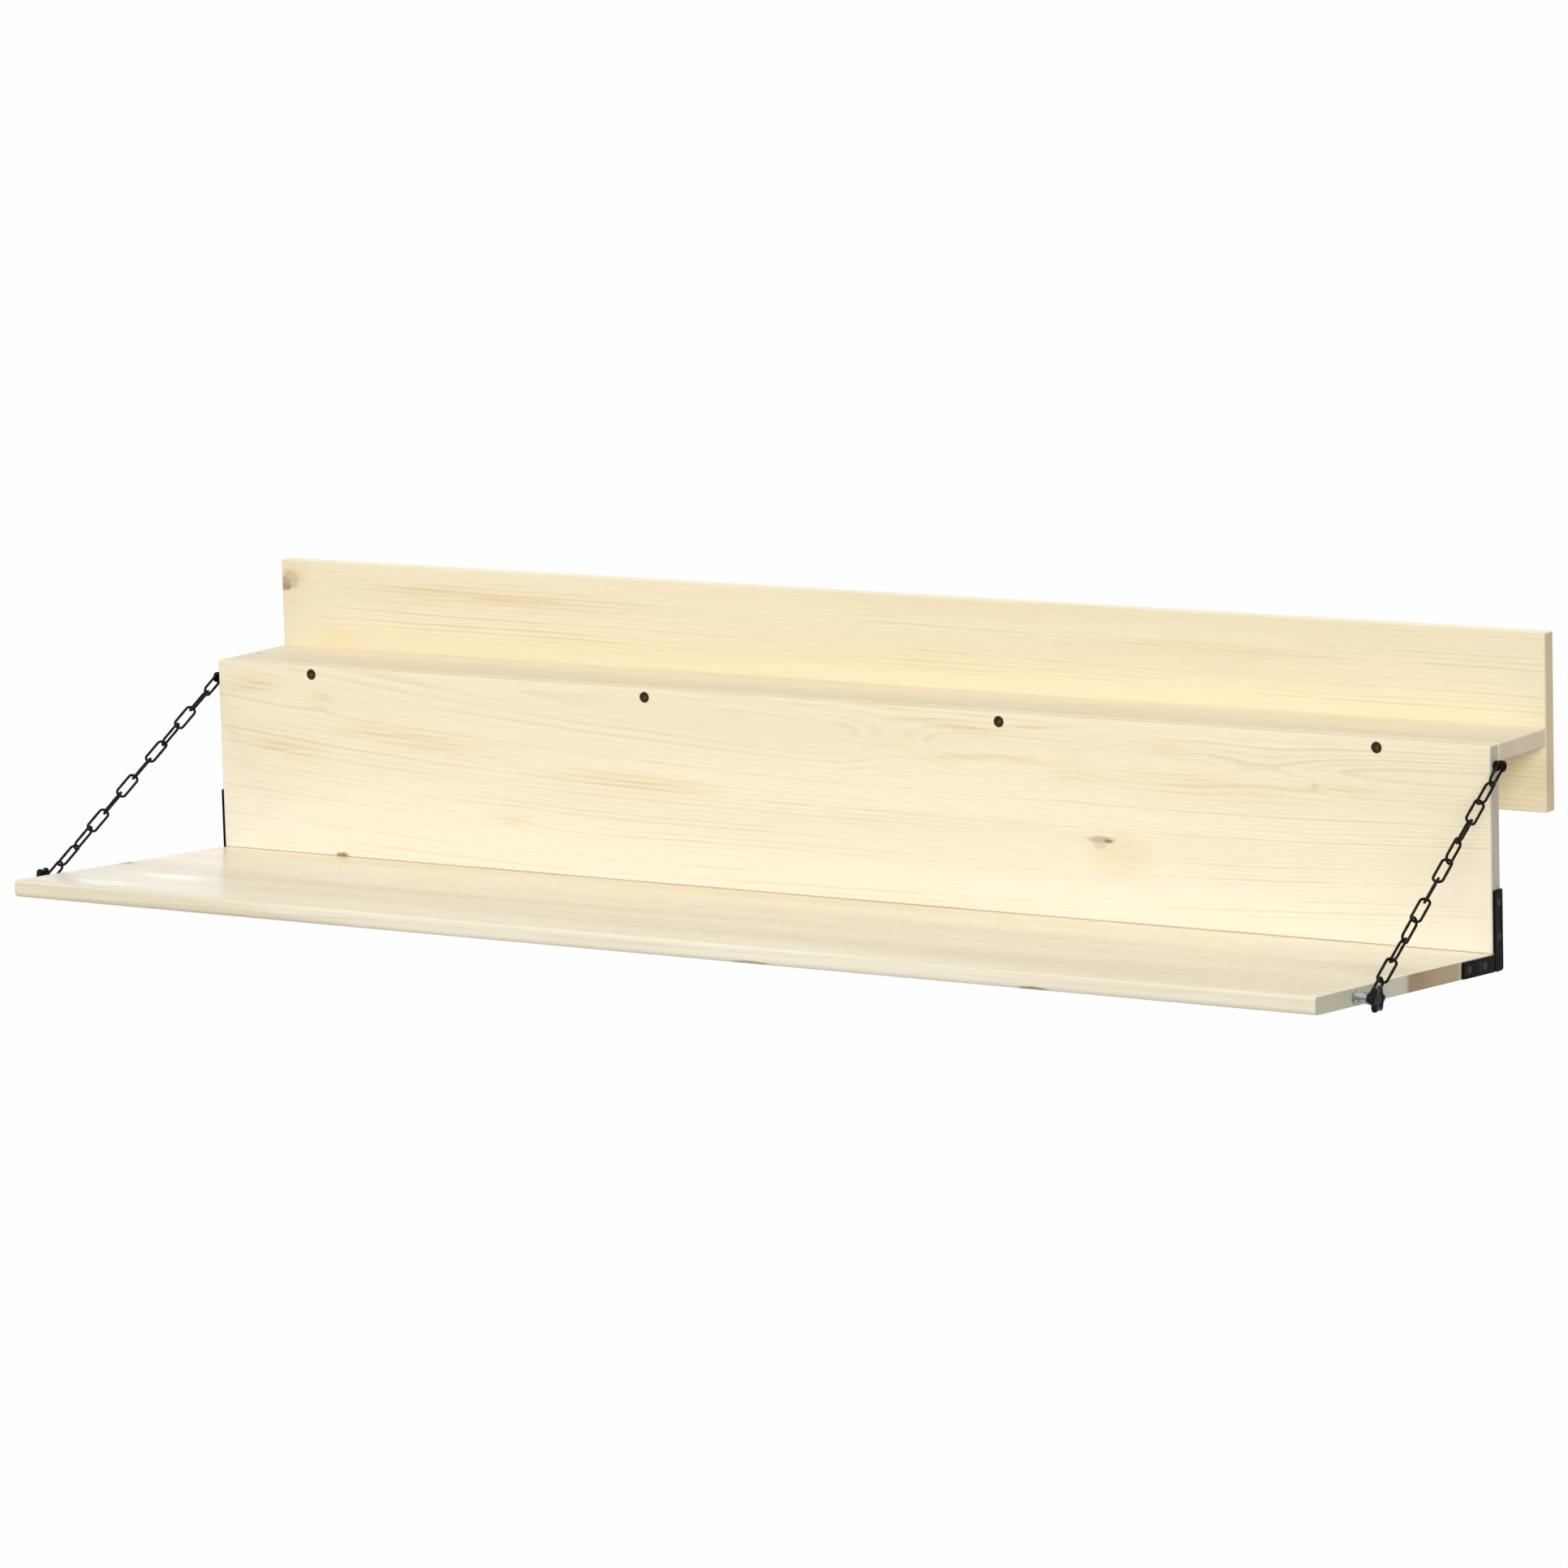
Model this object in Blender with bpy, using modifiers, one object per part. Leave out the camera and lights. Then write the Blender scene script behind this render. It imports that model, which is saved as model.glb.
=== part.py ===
"""Folding balcony table that hangs over a railing.

A narrow shelf sits on the railing between a front panel and a back panel. A leaf turns on two strap
hinges under the front panel, and two chains from the panel's ends hold it up by star knobs.
X runs along the railing, the leaf reaches towards -Y, +Z is up, and the origin is the middle of the
shelf's underside, where the railing carries it. Lengths are in metres.
"""

import math

import bmesh
import bpy
from mathutils import Matrix, Vector

# Boards
LENGTH = 1.200
BOARD = 0.014
FRONT_HEIGHT = 0.160
BACK_HEIGHT = 0.140
BACK_RISE = 0.074
SHELF_DEPTH = 0.080
LEAF_DEPTH = 0.300
LEAF_SLOPE = math.radians(3.6)
EDGE_EASE = 0.0008
UPPER_NOSE = 0.0048
LOWER_NOSE = 0.0026

# Gaps between pieces that touch, and the slot that lets the leaf turn
GAP = 0.0003
HINGE_GAP = 0.0006

# How far a cutter stands out of the face it cuts, and how close points are welded
CUT_RISE = 0.0012
WELD = 0.000001

# Wood screws that hold the panels to the shelf
PANEL_SCREWS = 4
SCREW_INSET = 0.097
SCREW_LENGTH = 0.045
SCREW_RADIUS = 0.0020
SCREW_HEAD_RADIUS = 0.0045
SCREW_HEAD_DEPTH = 0.0026

# Strap hinges on the ends of the boards, with their eyes halved into each other
STRAP_WIDTH = 0.013
STRAP_THICK = 0.002
FIXED_STRAP_REACH = 0.0565
LEAF_STRAP_REACH = 0.060
STRAP_END_MARGIN = 0.010
STRAP_SCREW_PITCH = 0.026
EYE_CORNER = 0.0025
PIN_RADIUS = 0.0025
PIN_DEPTH = 0.010
PIN_HEAD_RADIUS = 0.0036
PIN_HEAD_DEPTH = 0.0006
STRAP_SCREW_LENGTH = 0.022
STRAP_SCREW_RADIUS = 0.0014
STRAP_SCREW_HEAD_RADIUS = 0.0030
STRAP_SCREW_HEAD_DEPTH = 0.0015

# Chains, with each link's turn about its chain, in degrees from flat to the table's ends
WIRE = 0.0022
LINK_WIDTH = 0.010
LINK_PLAY = 0.0005
LINK_TURNS = {
    "left": (0, 116, 44, 156, 64, 124, 44, 140, 44, 164, 88, 0),
    "right": (0, 100, 40, 128, 8, 72, 140, 68, 8, 120, 60, 0),
}

# Upper chain anchors on the front panel's ends
ANCHOR_DROP = 0.016
ANCHOR_RADIUS = 0.0022
ANCHOR_DEPTH = 0.026
ANCHOR_HEAD_RADIUS = 0.0044
ANCHOR_HEAD_THICK = 0.0025
ANCHOR_HEAD_RIM = 0.0009
SPACER_RADIUS = 0.0040
SPACER_LENGTH = 0.0032

# Threaded sleeves in the leaf's ends, and the star knobs that hold the chains to them
SLEEVE_INSET = 0.061
SLEEVE_RADIUS = 0.0045
SLEEVE_LENGTH = 0.012
SLEEVE_SHANK_RADIUS = 0.0038
SLEEVE_SHANK_DEPTH = 0.022
SLEEVE_BORE_DEPTH = 0.016
STUD_RADIUS = 0.0024
STUD_SEAT_DEPTH = 0.0035
KNOB_RADIUS = 0.0105
KNOB_WAIST = 0.0082
KNOB_LOBES = 6
KNOB_THICK = 0.0056
KNOB_EASE = 0.0014

# Facets of round pieces
ROUND_STEPS = 12
ARC_STEPS = 6
LOBE_STEPS = 8
NOSE_STEPS = 5
DOME_STEPS = 3
EASE_STEPS = 1
WIRE_STEPS = 2

# Finishes: base colour, roughness and metallic value
SPRUCE = ("spruce", (0.86, 0.73, 0.52), 0.62, 0.0)
BLACK_STEEL = ("black_steel", (0.022, 0.022, 0.024), 0.42, 0.6)
BLACK_CHAIN = ("black_chain", (0.02, 0.02, 0.021), 0.48, 0.5)
ZINC_STEEL = ("zinc_steel", (0.62, 0.64, 0.66), 0.32, 1.0)
BLACK_PLASTIC = ("black_plastic", (0.018, 0.019, 0.022), 0.45, 0.0)

# Places that follow from the sizes
HALF_LENGTH = LENGTH / 2
SHELF_TOP = BOARD
FRONT_BOTTOM = SHELF_TOP - FRONT_HEIGHT
FRONT_MID_Y = -(SHELF_DEPTH / 2 + GAP + BOARD / 2)
BACK_MID_Y = SHELF_DEPTH / 2 + GAP + BOARD / 2
PIVOT = Vector((0, FRONT_MID_Y, FRONT_BOTTOM - HINGE_GAP - BOARD / 2))
STRAP_INNER = GAP
STRAP_OUTER = STRAP_INNER + STRAP_THICK
EYE_THICK = (STRAP_THICK - GAP) / 2
EYE_REACH = (STRAP_WIDTH / 2 - EYE_CORNER) * math.sqrt(2) + EYE_CORNER
EYE_SHOULDER = EYE_REACH + GAP
ANCHOR = Vector((0, FRONT_MID_Y, SHELF_TOP - ANCHOR_DROP))
SPACER_END = GAP + SPACER_LENGTH
ANCHOR_LINK_X = SPACER_END + LINK_PLAY + WIRE / 2
ANCHOR_HEAD_X = SPACER_END + 2 * LINK_PLAY + WIRE
SLEEVE_REACH = LEAF_DEPTH - BOARD / 2 - SLEEVE_INSET
SLEEVE_END = GAP + SLEEVE_LENGTH
STUD_LINK_X = SLEEVE_END + LINK_PLAY + WIRE / 2
KNOB_X = SLEEVE_END + 2 * LINK_PLAY + WIRE
LEAF_TURN = Matrix.Rotation(-LEAF_SLOPE, 4, "X")
STUD = PIVOT + LEAF_TURN @ Vector((0, -SLEEVE_REACH, 0))
SIDES = (("left", -1), ("right", 1))


def clear_scene():
    for obj in list(bpy.data.objects):
        bpy.data.objects.remove(obj, do_unlink=True)


def new_collection(name):
    collection = bpy.data.collections.new(name)
    bpy.context.scene.collection.children.link(collection)
    return collection


clear_scene()
TABLE = new_collection("folding_balcony_table")
CUTTERS = new_collection("cutters")
CUTTERS.hide_render = True


def finish_material(finish):
    name, colour, roughness, metallic = finish
    material = bpy.data.materials.get(name)
    if material is None:
        material = bpy.data.materials.new(name)
        material.use_nodes = True
        shader = material.node_tree.nodes["Principled BSDF"]
        shader.inputs["Base Color"].default_value = (*colour, 1)
        shader.inputs["Roughness"].default_value = roughness
        shader.inputs["Metallic"].default_value = metallic
    return material


def place(name, data, finish, parent=None, local=None):
    """Adds a piece to the table at its place under its parent."""
    obj = bpy.data.objects.new(name, data)
    TABLE.objects.link(obj)
    if not data.materials:
        data.materials.append(finish_material(finish))
    obj.parent = parent
    obj.matrix_local = local or Matrix.Identity(4)
    return obj


def axis_empty(name, position, parent=None, turn=None):
    """An empty on a joint's axis, which carries the pieces that move about it."""
    empty = bpy.data.objects.new(name, None)
    TABLE.objects.link(empty)
    empty.parent = parent
    empty.matrix_local = Matrix.Translation(position) @ (turn or Matrix.Identity(4))
    return empty


def facing(direction, position):
    """Stands a turned piece, whose head is at its local +Z, so that its head faces a direction."""
    turn = Vector(direction).to_track_quat("Z", "Y").to_matrix().to_4x4()
    return Matrix.Translation(position) @ turn


def box_mesh(name, size):
    mesh = bpy.data.meshes.new(name)
    form = bmesh.new()
    bmesh.ops.create_cube(form, size=1)
    bmesh.ops.scale(form, vec=Vector(size), verts=form.verts)
    form.to_mesh(mesh)
    form.free()
    return mesh


def outline_mesh(name, points, thickness, ease=0):
    """A flat outline in local XY, thick along local Z, as a welded mesh."""
    curve = bpy.data.curves.new(name, "CURVE")
    curve.dimensions = "2D"
    curve.fill_mode = "BOTH"
    curve.extrude = thickness / 2 - ease
    curve.bevel_depth = ease
    curve.bevel_resolution = EASE_STEPS
    curve.offset = -ease
    spline = curve.splines.new("POLY")
    spline.points.add(len(points) - 1)
    for point, (x, y) in zip(spline.points, points):
        point.co = (x, y, 0, 1)
    spline.use_cyclic_u = True
    guide = bpy.data.objects.new(name, curve)
    CUTTERS.objects.link(guide)
    graph = bpy.context.evaluated_depsgraph_get()
    mesh = bpy.data.meshes.new_from_object(guide.evaluated_get(graph))
    mesh.name = name
    bpy.data.objects.remove(guide)
    form = bmesh.new()
    form.from_mesh(mesh)
    bmesh.ops.remove_doubles(form, verts=form.verts, dist=WELD)
    bmesh.ops.recalc_face_normals(form, faces=form.faces)
    form.to_mesh(mesh)
    form.free()
    return mesh


def turned_mesh(name, profile):
    """The outer side of a turned piece as (radius, height) points from top to bottom."""
    mesh = bpy.data.meshes.new(name)
    points = [(radius, 0, height) for radius, height in profile]
    edges = [(i, i + 1) for i in range(len(points) - 1)]
    mesh.from_pydata(points, edges, [])
    return mesh


def add_turning(obj):
    turning = obj.modifiers.new("turned", "SCREW")
    turning.axis = "Z"
    turning.steps = ROUND_STEPS
    turning.render_steps = ROUND_STEPS
    turning.use_merge_vertices = True
    turning.merge_threshold = WELD
    turning.use_smooth_shade = True


def turned(name, profile, finish, parent, local):
    obj = place(name, turned_mesh(name, profile), finish, parent, local)
    add_turning(obj)
    return obj


def cut(target, mesh, local, parent=None):
    """Takes the space of a mesh out of a target, and gives the cutter that does it."""
    name = f"{target.name}_cut_{len(target.modifiers)}"
    cutter = bpy.data.objects.new(name, mesh)
    CUTTERS.objects.link(cutter)
    cutter.parent = parent
    cutter.matrix_local = local
    cutter.hide_render = True
    cutter.display_type = "WIRE"
    difference = target.modifiers.new(name, "BOOLEAN")
    difference.operation = "DIFFERENCE"
    difference.solver = "EXACT"
    difference.object = cutter
    return cutter


def bore(target, profile, local, parent=None):
    """Cuts a turned hole, given like a turned piece, out of a target."""
    add_turning(cut(target, turned_mesh("bore", profile), local, parent))


def arc(centre, radius, start, end, steps):
    """Points on an arc, with its angles in degrees."""
    angles = [math.radians(start + (end - start) * i / steps) for i in range(steps + 1)]
    return [(centre[0] + radius * math.cos(a), centre[1] + radius * math.sin(a)) for a in angles]


def straight_hole(radius, depth):
    """A plain hole from just outside a face down to a depth."""
    return [
        (0, CUT_RISE),
        (radius + GAP, CUT_RISE),
        (radius + GAP, -depth - GAP),
        (0, -depth - GAP),
    ]


def countersunk_screw(radius, length, head_radius, head_depth):
    tip = 2 * radius
    return [
        (0, 0),
        (head_radius, 0),
        (radius, -head_depth),
        (radius, tip - length),
        (0, -length),
    ]


def countersunk_hole(radius, length, head_radius, head_depth):
    """The hole of a countersunk screw whose head lies flush with the face."""
    flare = (head_radius - radius) / head_depth
    return [
        (0, CUT_RISE),
        (head_radius + GAP + flare * CUT_RISE, CUT_RISE),
        (radius + GAP, -head_depth),
        (radius + GAP, -length - GAP),
        (0, -length - GAP),
    ]


def board(name, size, centre):
    obj = place(name, box_mesh(name, size), SPRUCE, None, Matrix.Translation(centre))
    ease = obj.modifiers.new("eased_edges", "BEVEL")
    ease.width = EDGE_EASE
    ease.segments = 1
    return obj


def leaf_outline():
    """The leaf's section: round about the hinge axis at the back, with a nose that is fuller on top."""
    half = BOARD / 2
    front = LEAF_DEPTH - half
    back = arc((0, 0), half, 90, 270, 2 * ARC_STEPS)
    lower = arc((front - LOWER_NOSE, LOWER_NOSE - half), LOWER_NOSE, 270, 360, NOSE_STEPS)
    upper = arc((front - UPPER_NOSE, half - UPPER_NOSE), UPPER_NOSE, 0, 90, NOSE_STEPS)
    return back + lower + upper


def end_frame(position, along, side):
    """A frame on an end of the table: local X along a direction, local Z out of the end."""
    x = Vector(along)
    z = Vector((side, 0, 0))
    turn = Matrix((x, z.cross(x), z)).transposed().to_4x4()
    return Matrix.Translation(position) @ turn


def make_leaf(leaf_axis):
    mesh = outline_mesh("table_leaf", leaf_outline(), LENGTH, EDGE_EASE)
    return place("table_leaf", mesh, SPRUCE, leaf_axis, end_frame((0, 0, 0), (0, -1, 0), 1))


def screw_panels(front, back, shelf):
    """A row of countersunk screws through each panel into the edge of the shelf."""
    sizes = (SCREW_RADIUS, SCREW_LENGTH, SCREW_HEAD_RADIUS, SCREW_HEAD_DEPTH)
    first = SCREW_INSET - HALF_LENGTH
    pitch = -2 * first / (PANEL_SCREWS - 1)
    height = SHELF_TOP - BOARD / 2
    for panel, label, way, middle in (
        (front, "front", -1, FRONT_MID_Y),
        (back, "back", 1, BACK_MID_Y),
    ):
        for i in range(PANEL_SCREWS):
            at = facing((0, way, 0), (first + i * pitch, middle + way * BOARD / 2, height))
            turned(f"{label}_panel_screw_{i + 1}", countersunk_screw(*sizes), BLACK_STEEL, None, at)
            bore(panel, countersunk_hole(*sizes), at)
            bore(shelf, countersunk_hole(*sizes), at)


def fixed_outline():
    """The fixed strap seen from the end of the table: square, with eased corners about the pivot."""
    half = STRAP_WIDTH / 2
    inset = half - EYE_CORNER
    upper = arc((-inset, inset), EYE_CORNER, 90, 180, ARC_STEPS)
    lower = arc((-inset, -inset), EYE_CORNER, 180, 270, ARC_STEPS)
    return upper + lower + [(FIXED_STRAP_REACH, -half), (FIXED_STRAP_REACH, half)]


def moving_outline():
    """The leaf's strap seen from the end of the table: round about the pivot, square at its far end."""
    half = STRAP_WIDTH / 2
    eye = arc((0, 0), half, 90, 270, 2 * ARC_STEPS)
    return eye + [(LEAF_STRAP_REACH, -half), (LEAF_STRAP_REACH, half)]


def screw_strap(strap, wood, reach, frame, parent):
    """Two countersunk screws through a strap into the end of its board."""
    sizes = (
        STRAP_SCREW_RADIUS,
        STRAP_SCREW_LENGTH,
        STRAP_SCREW_HEAD_RADIUS,
        STRAP_SCREW_HEAD_DEPTH,
    )
    far = reach - STRAP_END_MARGIN
    for i, distance in enumerate((far - STRAP_SCREW_PITCH, far)):
        at = frame @ Matrix.Translation((distance, 0, STRAP_OUTER))
        turned(f"{strap.name}_screw_{i + 1}", countersunk_screw(*sizes), BLACK_STEEL, parent, at)
        bore(strap, countersunk_hole(*sizes), at, parent)
        bore(wood, countersunk_hole(*sizes), at, parent)


def halve_eye(strap, low, high, frame, parent=None):
    """Makes room on a strap for the other strap's eye, between two distances from the board's end."""
    size = (EYE_SHOULDER + STRAP_WIDTH, 2 * STRAP_WIDTH, high - low)
    centre = ((EYE_SHOULDER - STRAP_WIDTH) / 2, 0, (low + high) / 2)
    cut(strap, box_mesh("halving", size), frame @ Matrix.Translation(centre), parent)


def make_hinge(side_name, side, front, leaf, leaf_axis):
    """Two straps riveted at the pivot: one on the panel's end, one on the leaf's end."""
    end = Vector((side * HALF_LENGTH, 0, 0))
    panel_frame = end_frame(PIVOT + end, (0, 0, 1), side)
    leaf_frame = end_frame(end, (0, -1, 0), side)
    seat = Matrix.Translation((0, 0, STRAP_INNER + STRAP_THICK / 2))
    name = f"fixed_strap_{side_name}"
    mesh = outline_mesh(name, fixed_outline(), STRAP_THICK)
    fixed = place(name, mesh, BLACK_STEEL, None, panel_frame @ seat)
    halve_eye(fixed, -CUT_RISE, STRAP_OUTER - EYE_THICK, panel_frame)
    screw_strap(fixed, front, FIXED_STRAP_REACH, panel_frame, None)
    name = f"leaf_strap_{side_name}"
    mesh = outline_mesh(name, moving_outline(), STRAP_THICK)
    moving = place(name, mesh, BLACK_STEEL, leaf_axis, leaf_frame @ seat)
    halve_eye(moving, STRAP_INNER + EYE_THICK, STRAP_OUTER + CUT_RISE, leaf_frame, leaf_axis)
    screw_strap(moving, leaf, LEAF_STRAP_REACH, leaf_frame, leaf_axis)
    flush = Matrix.Translation((0, 0, STRAP_OUTER))
    length = STRAP_OUTER + PIN_DEPTH
    pin = [
        (0, 0),
        (PIN_HEAD_RADIUS, 0),
        (PIN_RADIUS, -PIN_HEAD_DEPTH),
        (PIN_RADIUS, -length),
        (0, -length),
    ]
    turned(f"hinge_pin_{side_name}", pin, BLACK_STEEL, None, panel_frame @ flush)
    hole = countersunk_hole(PIN_RADIUS, length, PIN_HEAD_RADIUS, PIN_HEAD_DEPTH)
    bore(fixed, hole, panel_frame @ flush)
    bore(moving, hole, leaf_frame @ flush, leaf_axis)
    bore(leaf, hole, leaf_frame @ flush, leaf_axis)


def dome(radius, base, rise):
    """The outer side of a domed head, from its middle down to its rim."""
    angles = [math.pi / 2 * i / DOME_STEPS for i in range(DOME_STEPS + 1)]
    return [(radius * math.sin(a), base + rise * math.cos(a)) for a in angles]


def make_anchor(side_name, side, front):
    """The round-headed screw that carries a chain, and the spacer that keeps it off the panel."""
    at = facing((side, 0, 0), ANCHOR + Vector((side * HALF_LENGTH, 0, 0)))
    rim = ANCHOR_HEAD_X + ANCHOR_HEAD_RIM
    screw = dome(ANCHOR_HEAD_RADIUS, rim, ANCHOR_HEAD_THICK - ANCHOR_HEAD_RIM) + [
        (ANCHOR_HEAD_RADIUS, ANCHOR_HEAD_X),
        (ANCHOR_RADIUS, ANCHOR_HEAD_X),
        (ANCHOR_RADIUS, 2 * ANCHOR_RADIUS - ANCHOR_DEPTH),
        (0, -ANCHOR_DEPTH),
    ]
    turned(f"chain_anchor_{side_name}", screw, BLACK_STEEL, None, at)
    bore(front, straight_hole(ANCHOR_RADIUS, ANCHOR_DEPTH), at)
    spacer = [
        (ANCHOR_RADIUS + GAP, SPACER_END),
        (SPACER_RADIUS, SPACER_END),
        (SPACER_RADIUS, GAP),
        (ANCHOR_RADIUS + GAP, GAP),
        (ANCHOR_RADIUS + GAP, SPACER_END),
    ]
    turned(f"anchor_spacer_{side_name}", spacer, BLACK_STEEL, None, at)


def make_sleeve(side_name, side, leaf, leaf_axis):
    """The threaded sleeve in the leaf's end, which takes the knob's stud."""
    at = facing((side, 0, 0), (side * HALF_LENGTH, -SLEEVE_REACH, 0))
    sleeve = [
        (0, SLEEVE_END - SLEEVE_BORE_DEPTH),
        (STUD_RADIUS + GAP, SLEEVE_END - SLEEVE_BORE_DEPTH),
        (STUD_RADIUS + GAP, SLEEVE_END),
        (SLEEVE_RADIUS, SLEEVE_END),
        (SLEEVE_RADIUS, GAP),
        (SLEEVE_SHANK_RADIUS, GAP),
        (SLEEVE_SHANK_RADIUS, -SLEEVE_SHANK_DEPTH),
        (0, -SLEEVE_SHANK_DEPTH),
    ]
    turned(f"threaded_sleeve_{side_name}", sleeve, ZINC_STEEL, leaf_axis, at)
    bore(leaf, straight_hole(SLEEVE_SHANK_RADIUS, SLEEVE_SHANK_DEPTH), at, leaf_axis)


def knob_outline():
    """A ring of round lobes, as a wave about the knob's middle radius."""
    middle = (KNOB_RADIUS + KNOB_WAIST) / 2
    swing = (KNOB_RADIUS - KNOB_WAIST) / 2
    count = KNOB_LOBES * LOBE_STEPS
    points = []
    for i in range(count):
        angle = 2 * math.pi * i / count
        radius = middle + swing * math.cos(KNOB_LOBES * angle)
        points.append((radius * math.cos(angle), radius * math.sin(angle)))
    return points


def make_knob(side_name, side, swing_axis):
    """The star knob and its stud, which turn together and stay on the chain when it is let go."""
    turn_axis = axis_empty(f"knob_turn_{side_name}", STUD - ANCHOR, swing_axis)
    at = facing((side, 0, 0), (side * HALF_LENGTH, 0, 0))
    name = f"star_knob_{side_name}"
    mesh = outline_mesh(name, knob_outline(), KNOB_THICK, KNOB_EASE)
    seat = Matrix.Translation((0, 0, KNOB_X + KNOB_THICK / 2))
    knob = place(name, mesh, BLACK_PLASTIC, turn_axis, at @ seat)
    seat_end = KNOB_X + STUD_SEAT_DEPTH
    stud = [
        (0, seat_end),
        (STUD_RADIUS, seat_end),
        (STUD_RADIUS, SLEEVE_END + GAP),
        (0, SLEEVE_END + GAP),
    ]
    turned(f"knob_stud_{side_name}", stud, ZINC_STEEL, turn_axis, at)
    socket = [
        (0, seat_end + GAP),
        (STUD_RADIUS + GAP, seat_end + GAP),
        (STUD_RADIUS + GAP, SLEEVE_END),
        (0, SLEEVE_END),
    ]
    bore(knob, socket, at, turn_axis)


def link_curve(length):
    """One chain link as bent wire: two straight sides and two round ends, about its middle."""
    curve = bpy.data.curves.new("chain_link", "CURVE")
    curve.dimensions = "3D"
    curve.bevel_depth = WIRE / 2
    curve.bevel_resolution = WIRE_STEPS
    radius = (LINK_WIDTH - WIRE) / 2
    straight = length / 2 - radius
    top = arc((0, straight), radius, 0, 180, ARC_STEPS)
    bottom = arc((0, -straight), radius, 180, 360, ARC_STEPS)
    points = top + bottom
    spline = curve.splines.new("POLY")
    spline.points.add(len(points) - 1)
    for point, (y, z) in zip(spline.points, points):
        point.co = (0, y, z, 1)
    spline.use_cyclic_u = True
    return curve


def make_chain(side_name, side):
    """Closed links from the anchor to the knob's stud, each turned against the one before it."""
    turns = LINK_TURNS[side_name]
    swing_axis = axis_empty(f"chain_swing_{side_name}", ANCHOR)
    start = Vector((side * (HALF_LENGTH + ANCHOR_LINK_X), 0, 0))
    run = STUD - ANCHOR + Vector((side * (STUD_LINK_X - ANCHOR_LINK_X), 0, 0))
    down = run.normalized()
    across = Vector((1, 0, 0)) - down * down.x
    across.normalize()
    turn = Matrix((across, down.cross(across), down)).transposed().to_4x4()
    overlap = WIRE + GAP
    above = ANCHOR_RADIUS + GAP + WIRE / 2
    below = STUD_RADIUS + GAP + WIRE / 2
    length = (run.length + above + below + (len(turns) - 1) * overlap) / len(turns)
    curve = link_curve(length)
    for i, degrees in enumerate(turns):
        middle = length / 2 - above + i * (length - overlap)
        roll = Matrix.Rotation(math.radians(degrees), 4, "Z")
        at = Matrix.Translation(start + down * middle) @ turn @ roll
        place(f"chain_link_{side_name}_{i + 1:02d}", curve, BLACK_CHAIN, swing_axis, at)
    return swing_axis


def main():
    front_size = (LENGTH, BOARD, FRONT_HEIGHT)
    front = board("front_panel", front_size, (0, FRONT_MID_Y, SHELF_TOP - FRONT_HEIGHT / 2))
    shelf = board("shelf_board", (LENGTH, SHELF_DEPTH, BOARD), (0, 0, SHELF_TOP - BOARD / 2))
    back_size = (LENGTH, BOARD, BACK_HEIGHT)
    back = board("back_panel", back_size, (0, BACK_MID_Y, SHELF_TOP + BACK_RISE - BACK_HEIGHT / 2))
    leaf_axis = axis_empty("leaf_fold", PIVOT, None, LEAF_TURN)
    leaf = make_leaf(leaf_axis)
    screw_panels(front, back, shelf)
    for side_name, side in SIDES:
        make_hinge(side_name, side, front, leaf, leaf_axis)
        make_anchor(side_name, side, front)
        make_sleeve(side_name, side, leaf, leaf_axis)
        make_knob(side_name, side, make_chain(side_name, side))


main()
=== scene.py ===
"""Folding balcony table in pale spruce: its finishes, its fine hardware, the studio and the camera.

Lengths are in metres. X runs along the table, the leaf reaches towards -Y and +Z is up.
"""

import math
from collections import namedtuple

import bmesh
import bpy
import numpy as np
from mathutils import Matrix, Vector


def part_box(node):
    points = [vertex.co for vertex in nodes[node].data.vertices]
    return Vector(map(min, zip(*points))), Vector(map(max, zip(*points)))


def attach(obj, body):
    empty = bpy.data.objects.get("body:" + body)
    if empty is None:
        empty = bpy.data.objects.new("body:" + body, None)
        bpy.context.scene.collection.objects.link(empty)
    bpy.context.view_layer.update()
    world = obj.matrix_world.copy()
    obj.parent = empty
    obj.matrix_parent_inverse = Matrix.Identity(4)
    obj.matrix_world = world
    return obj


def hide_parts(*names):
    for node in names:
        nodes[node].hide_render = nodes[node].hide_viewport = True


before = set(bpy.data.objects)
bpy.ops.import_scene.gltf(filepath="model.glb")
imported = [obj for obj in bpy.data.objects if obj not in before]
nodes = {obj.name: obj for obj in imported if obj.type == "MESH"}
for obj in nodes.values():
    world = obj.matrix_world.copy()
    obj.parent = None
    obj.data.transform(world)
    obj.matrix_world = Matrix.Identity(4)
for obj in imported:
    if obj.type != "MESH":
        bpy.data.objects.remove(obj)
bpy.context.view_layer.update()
scene = bpy.context.scene

# The boards, as far as their finishes, the hardware and the camera follow them
HALF_LENGTH = 0.600
FRONT_PANEL_FACE = -0.0543
BACK_PANEL_FACE = 0.0403
SHELF_TOP = 0.014
PIVOT = Vector((0, -0.0473, -0.1536))
LEAF_SLOPE = math.radians(3.6)
LEAF_OUT = (0, -math.cos(LEAF_SLOPE), math.sin(LEAF_SLOPE))
LEAF_DOWN = (0, -math.sin(LEAF_SLOPE), -math.cos(LEAF_SLOPE))
SIDES = (("left", -1), ("right", 1))

# Camera, as fitted to the photograph, with its frame in pixels
PHOTO_SIDE = 1932
FOCAL = 8664.4
OPTICAL_CENTRE = (1008.27, 863.39)
AIM = Vector((0, FRONT_PANEL_FACE, SHELF_TOP))
DISTANCE = 5.636
AZIMUTH = math.radians(32.32)
ELEVATION = math.radians(8.614)
ROLL = math.radians(-1.537)
SENSOR = 36.0

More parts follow.
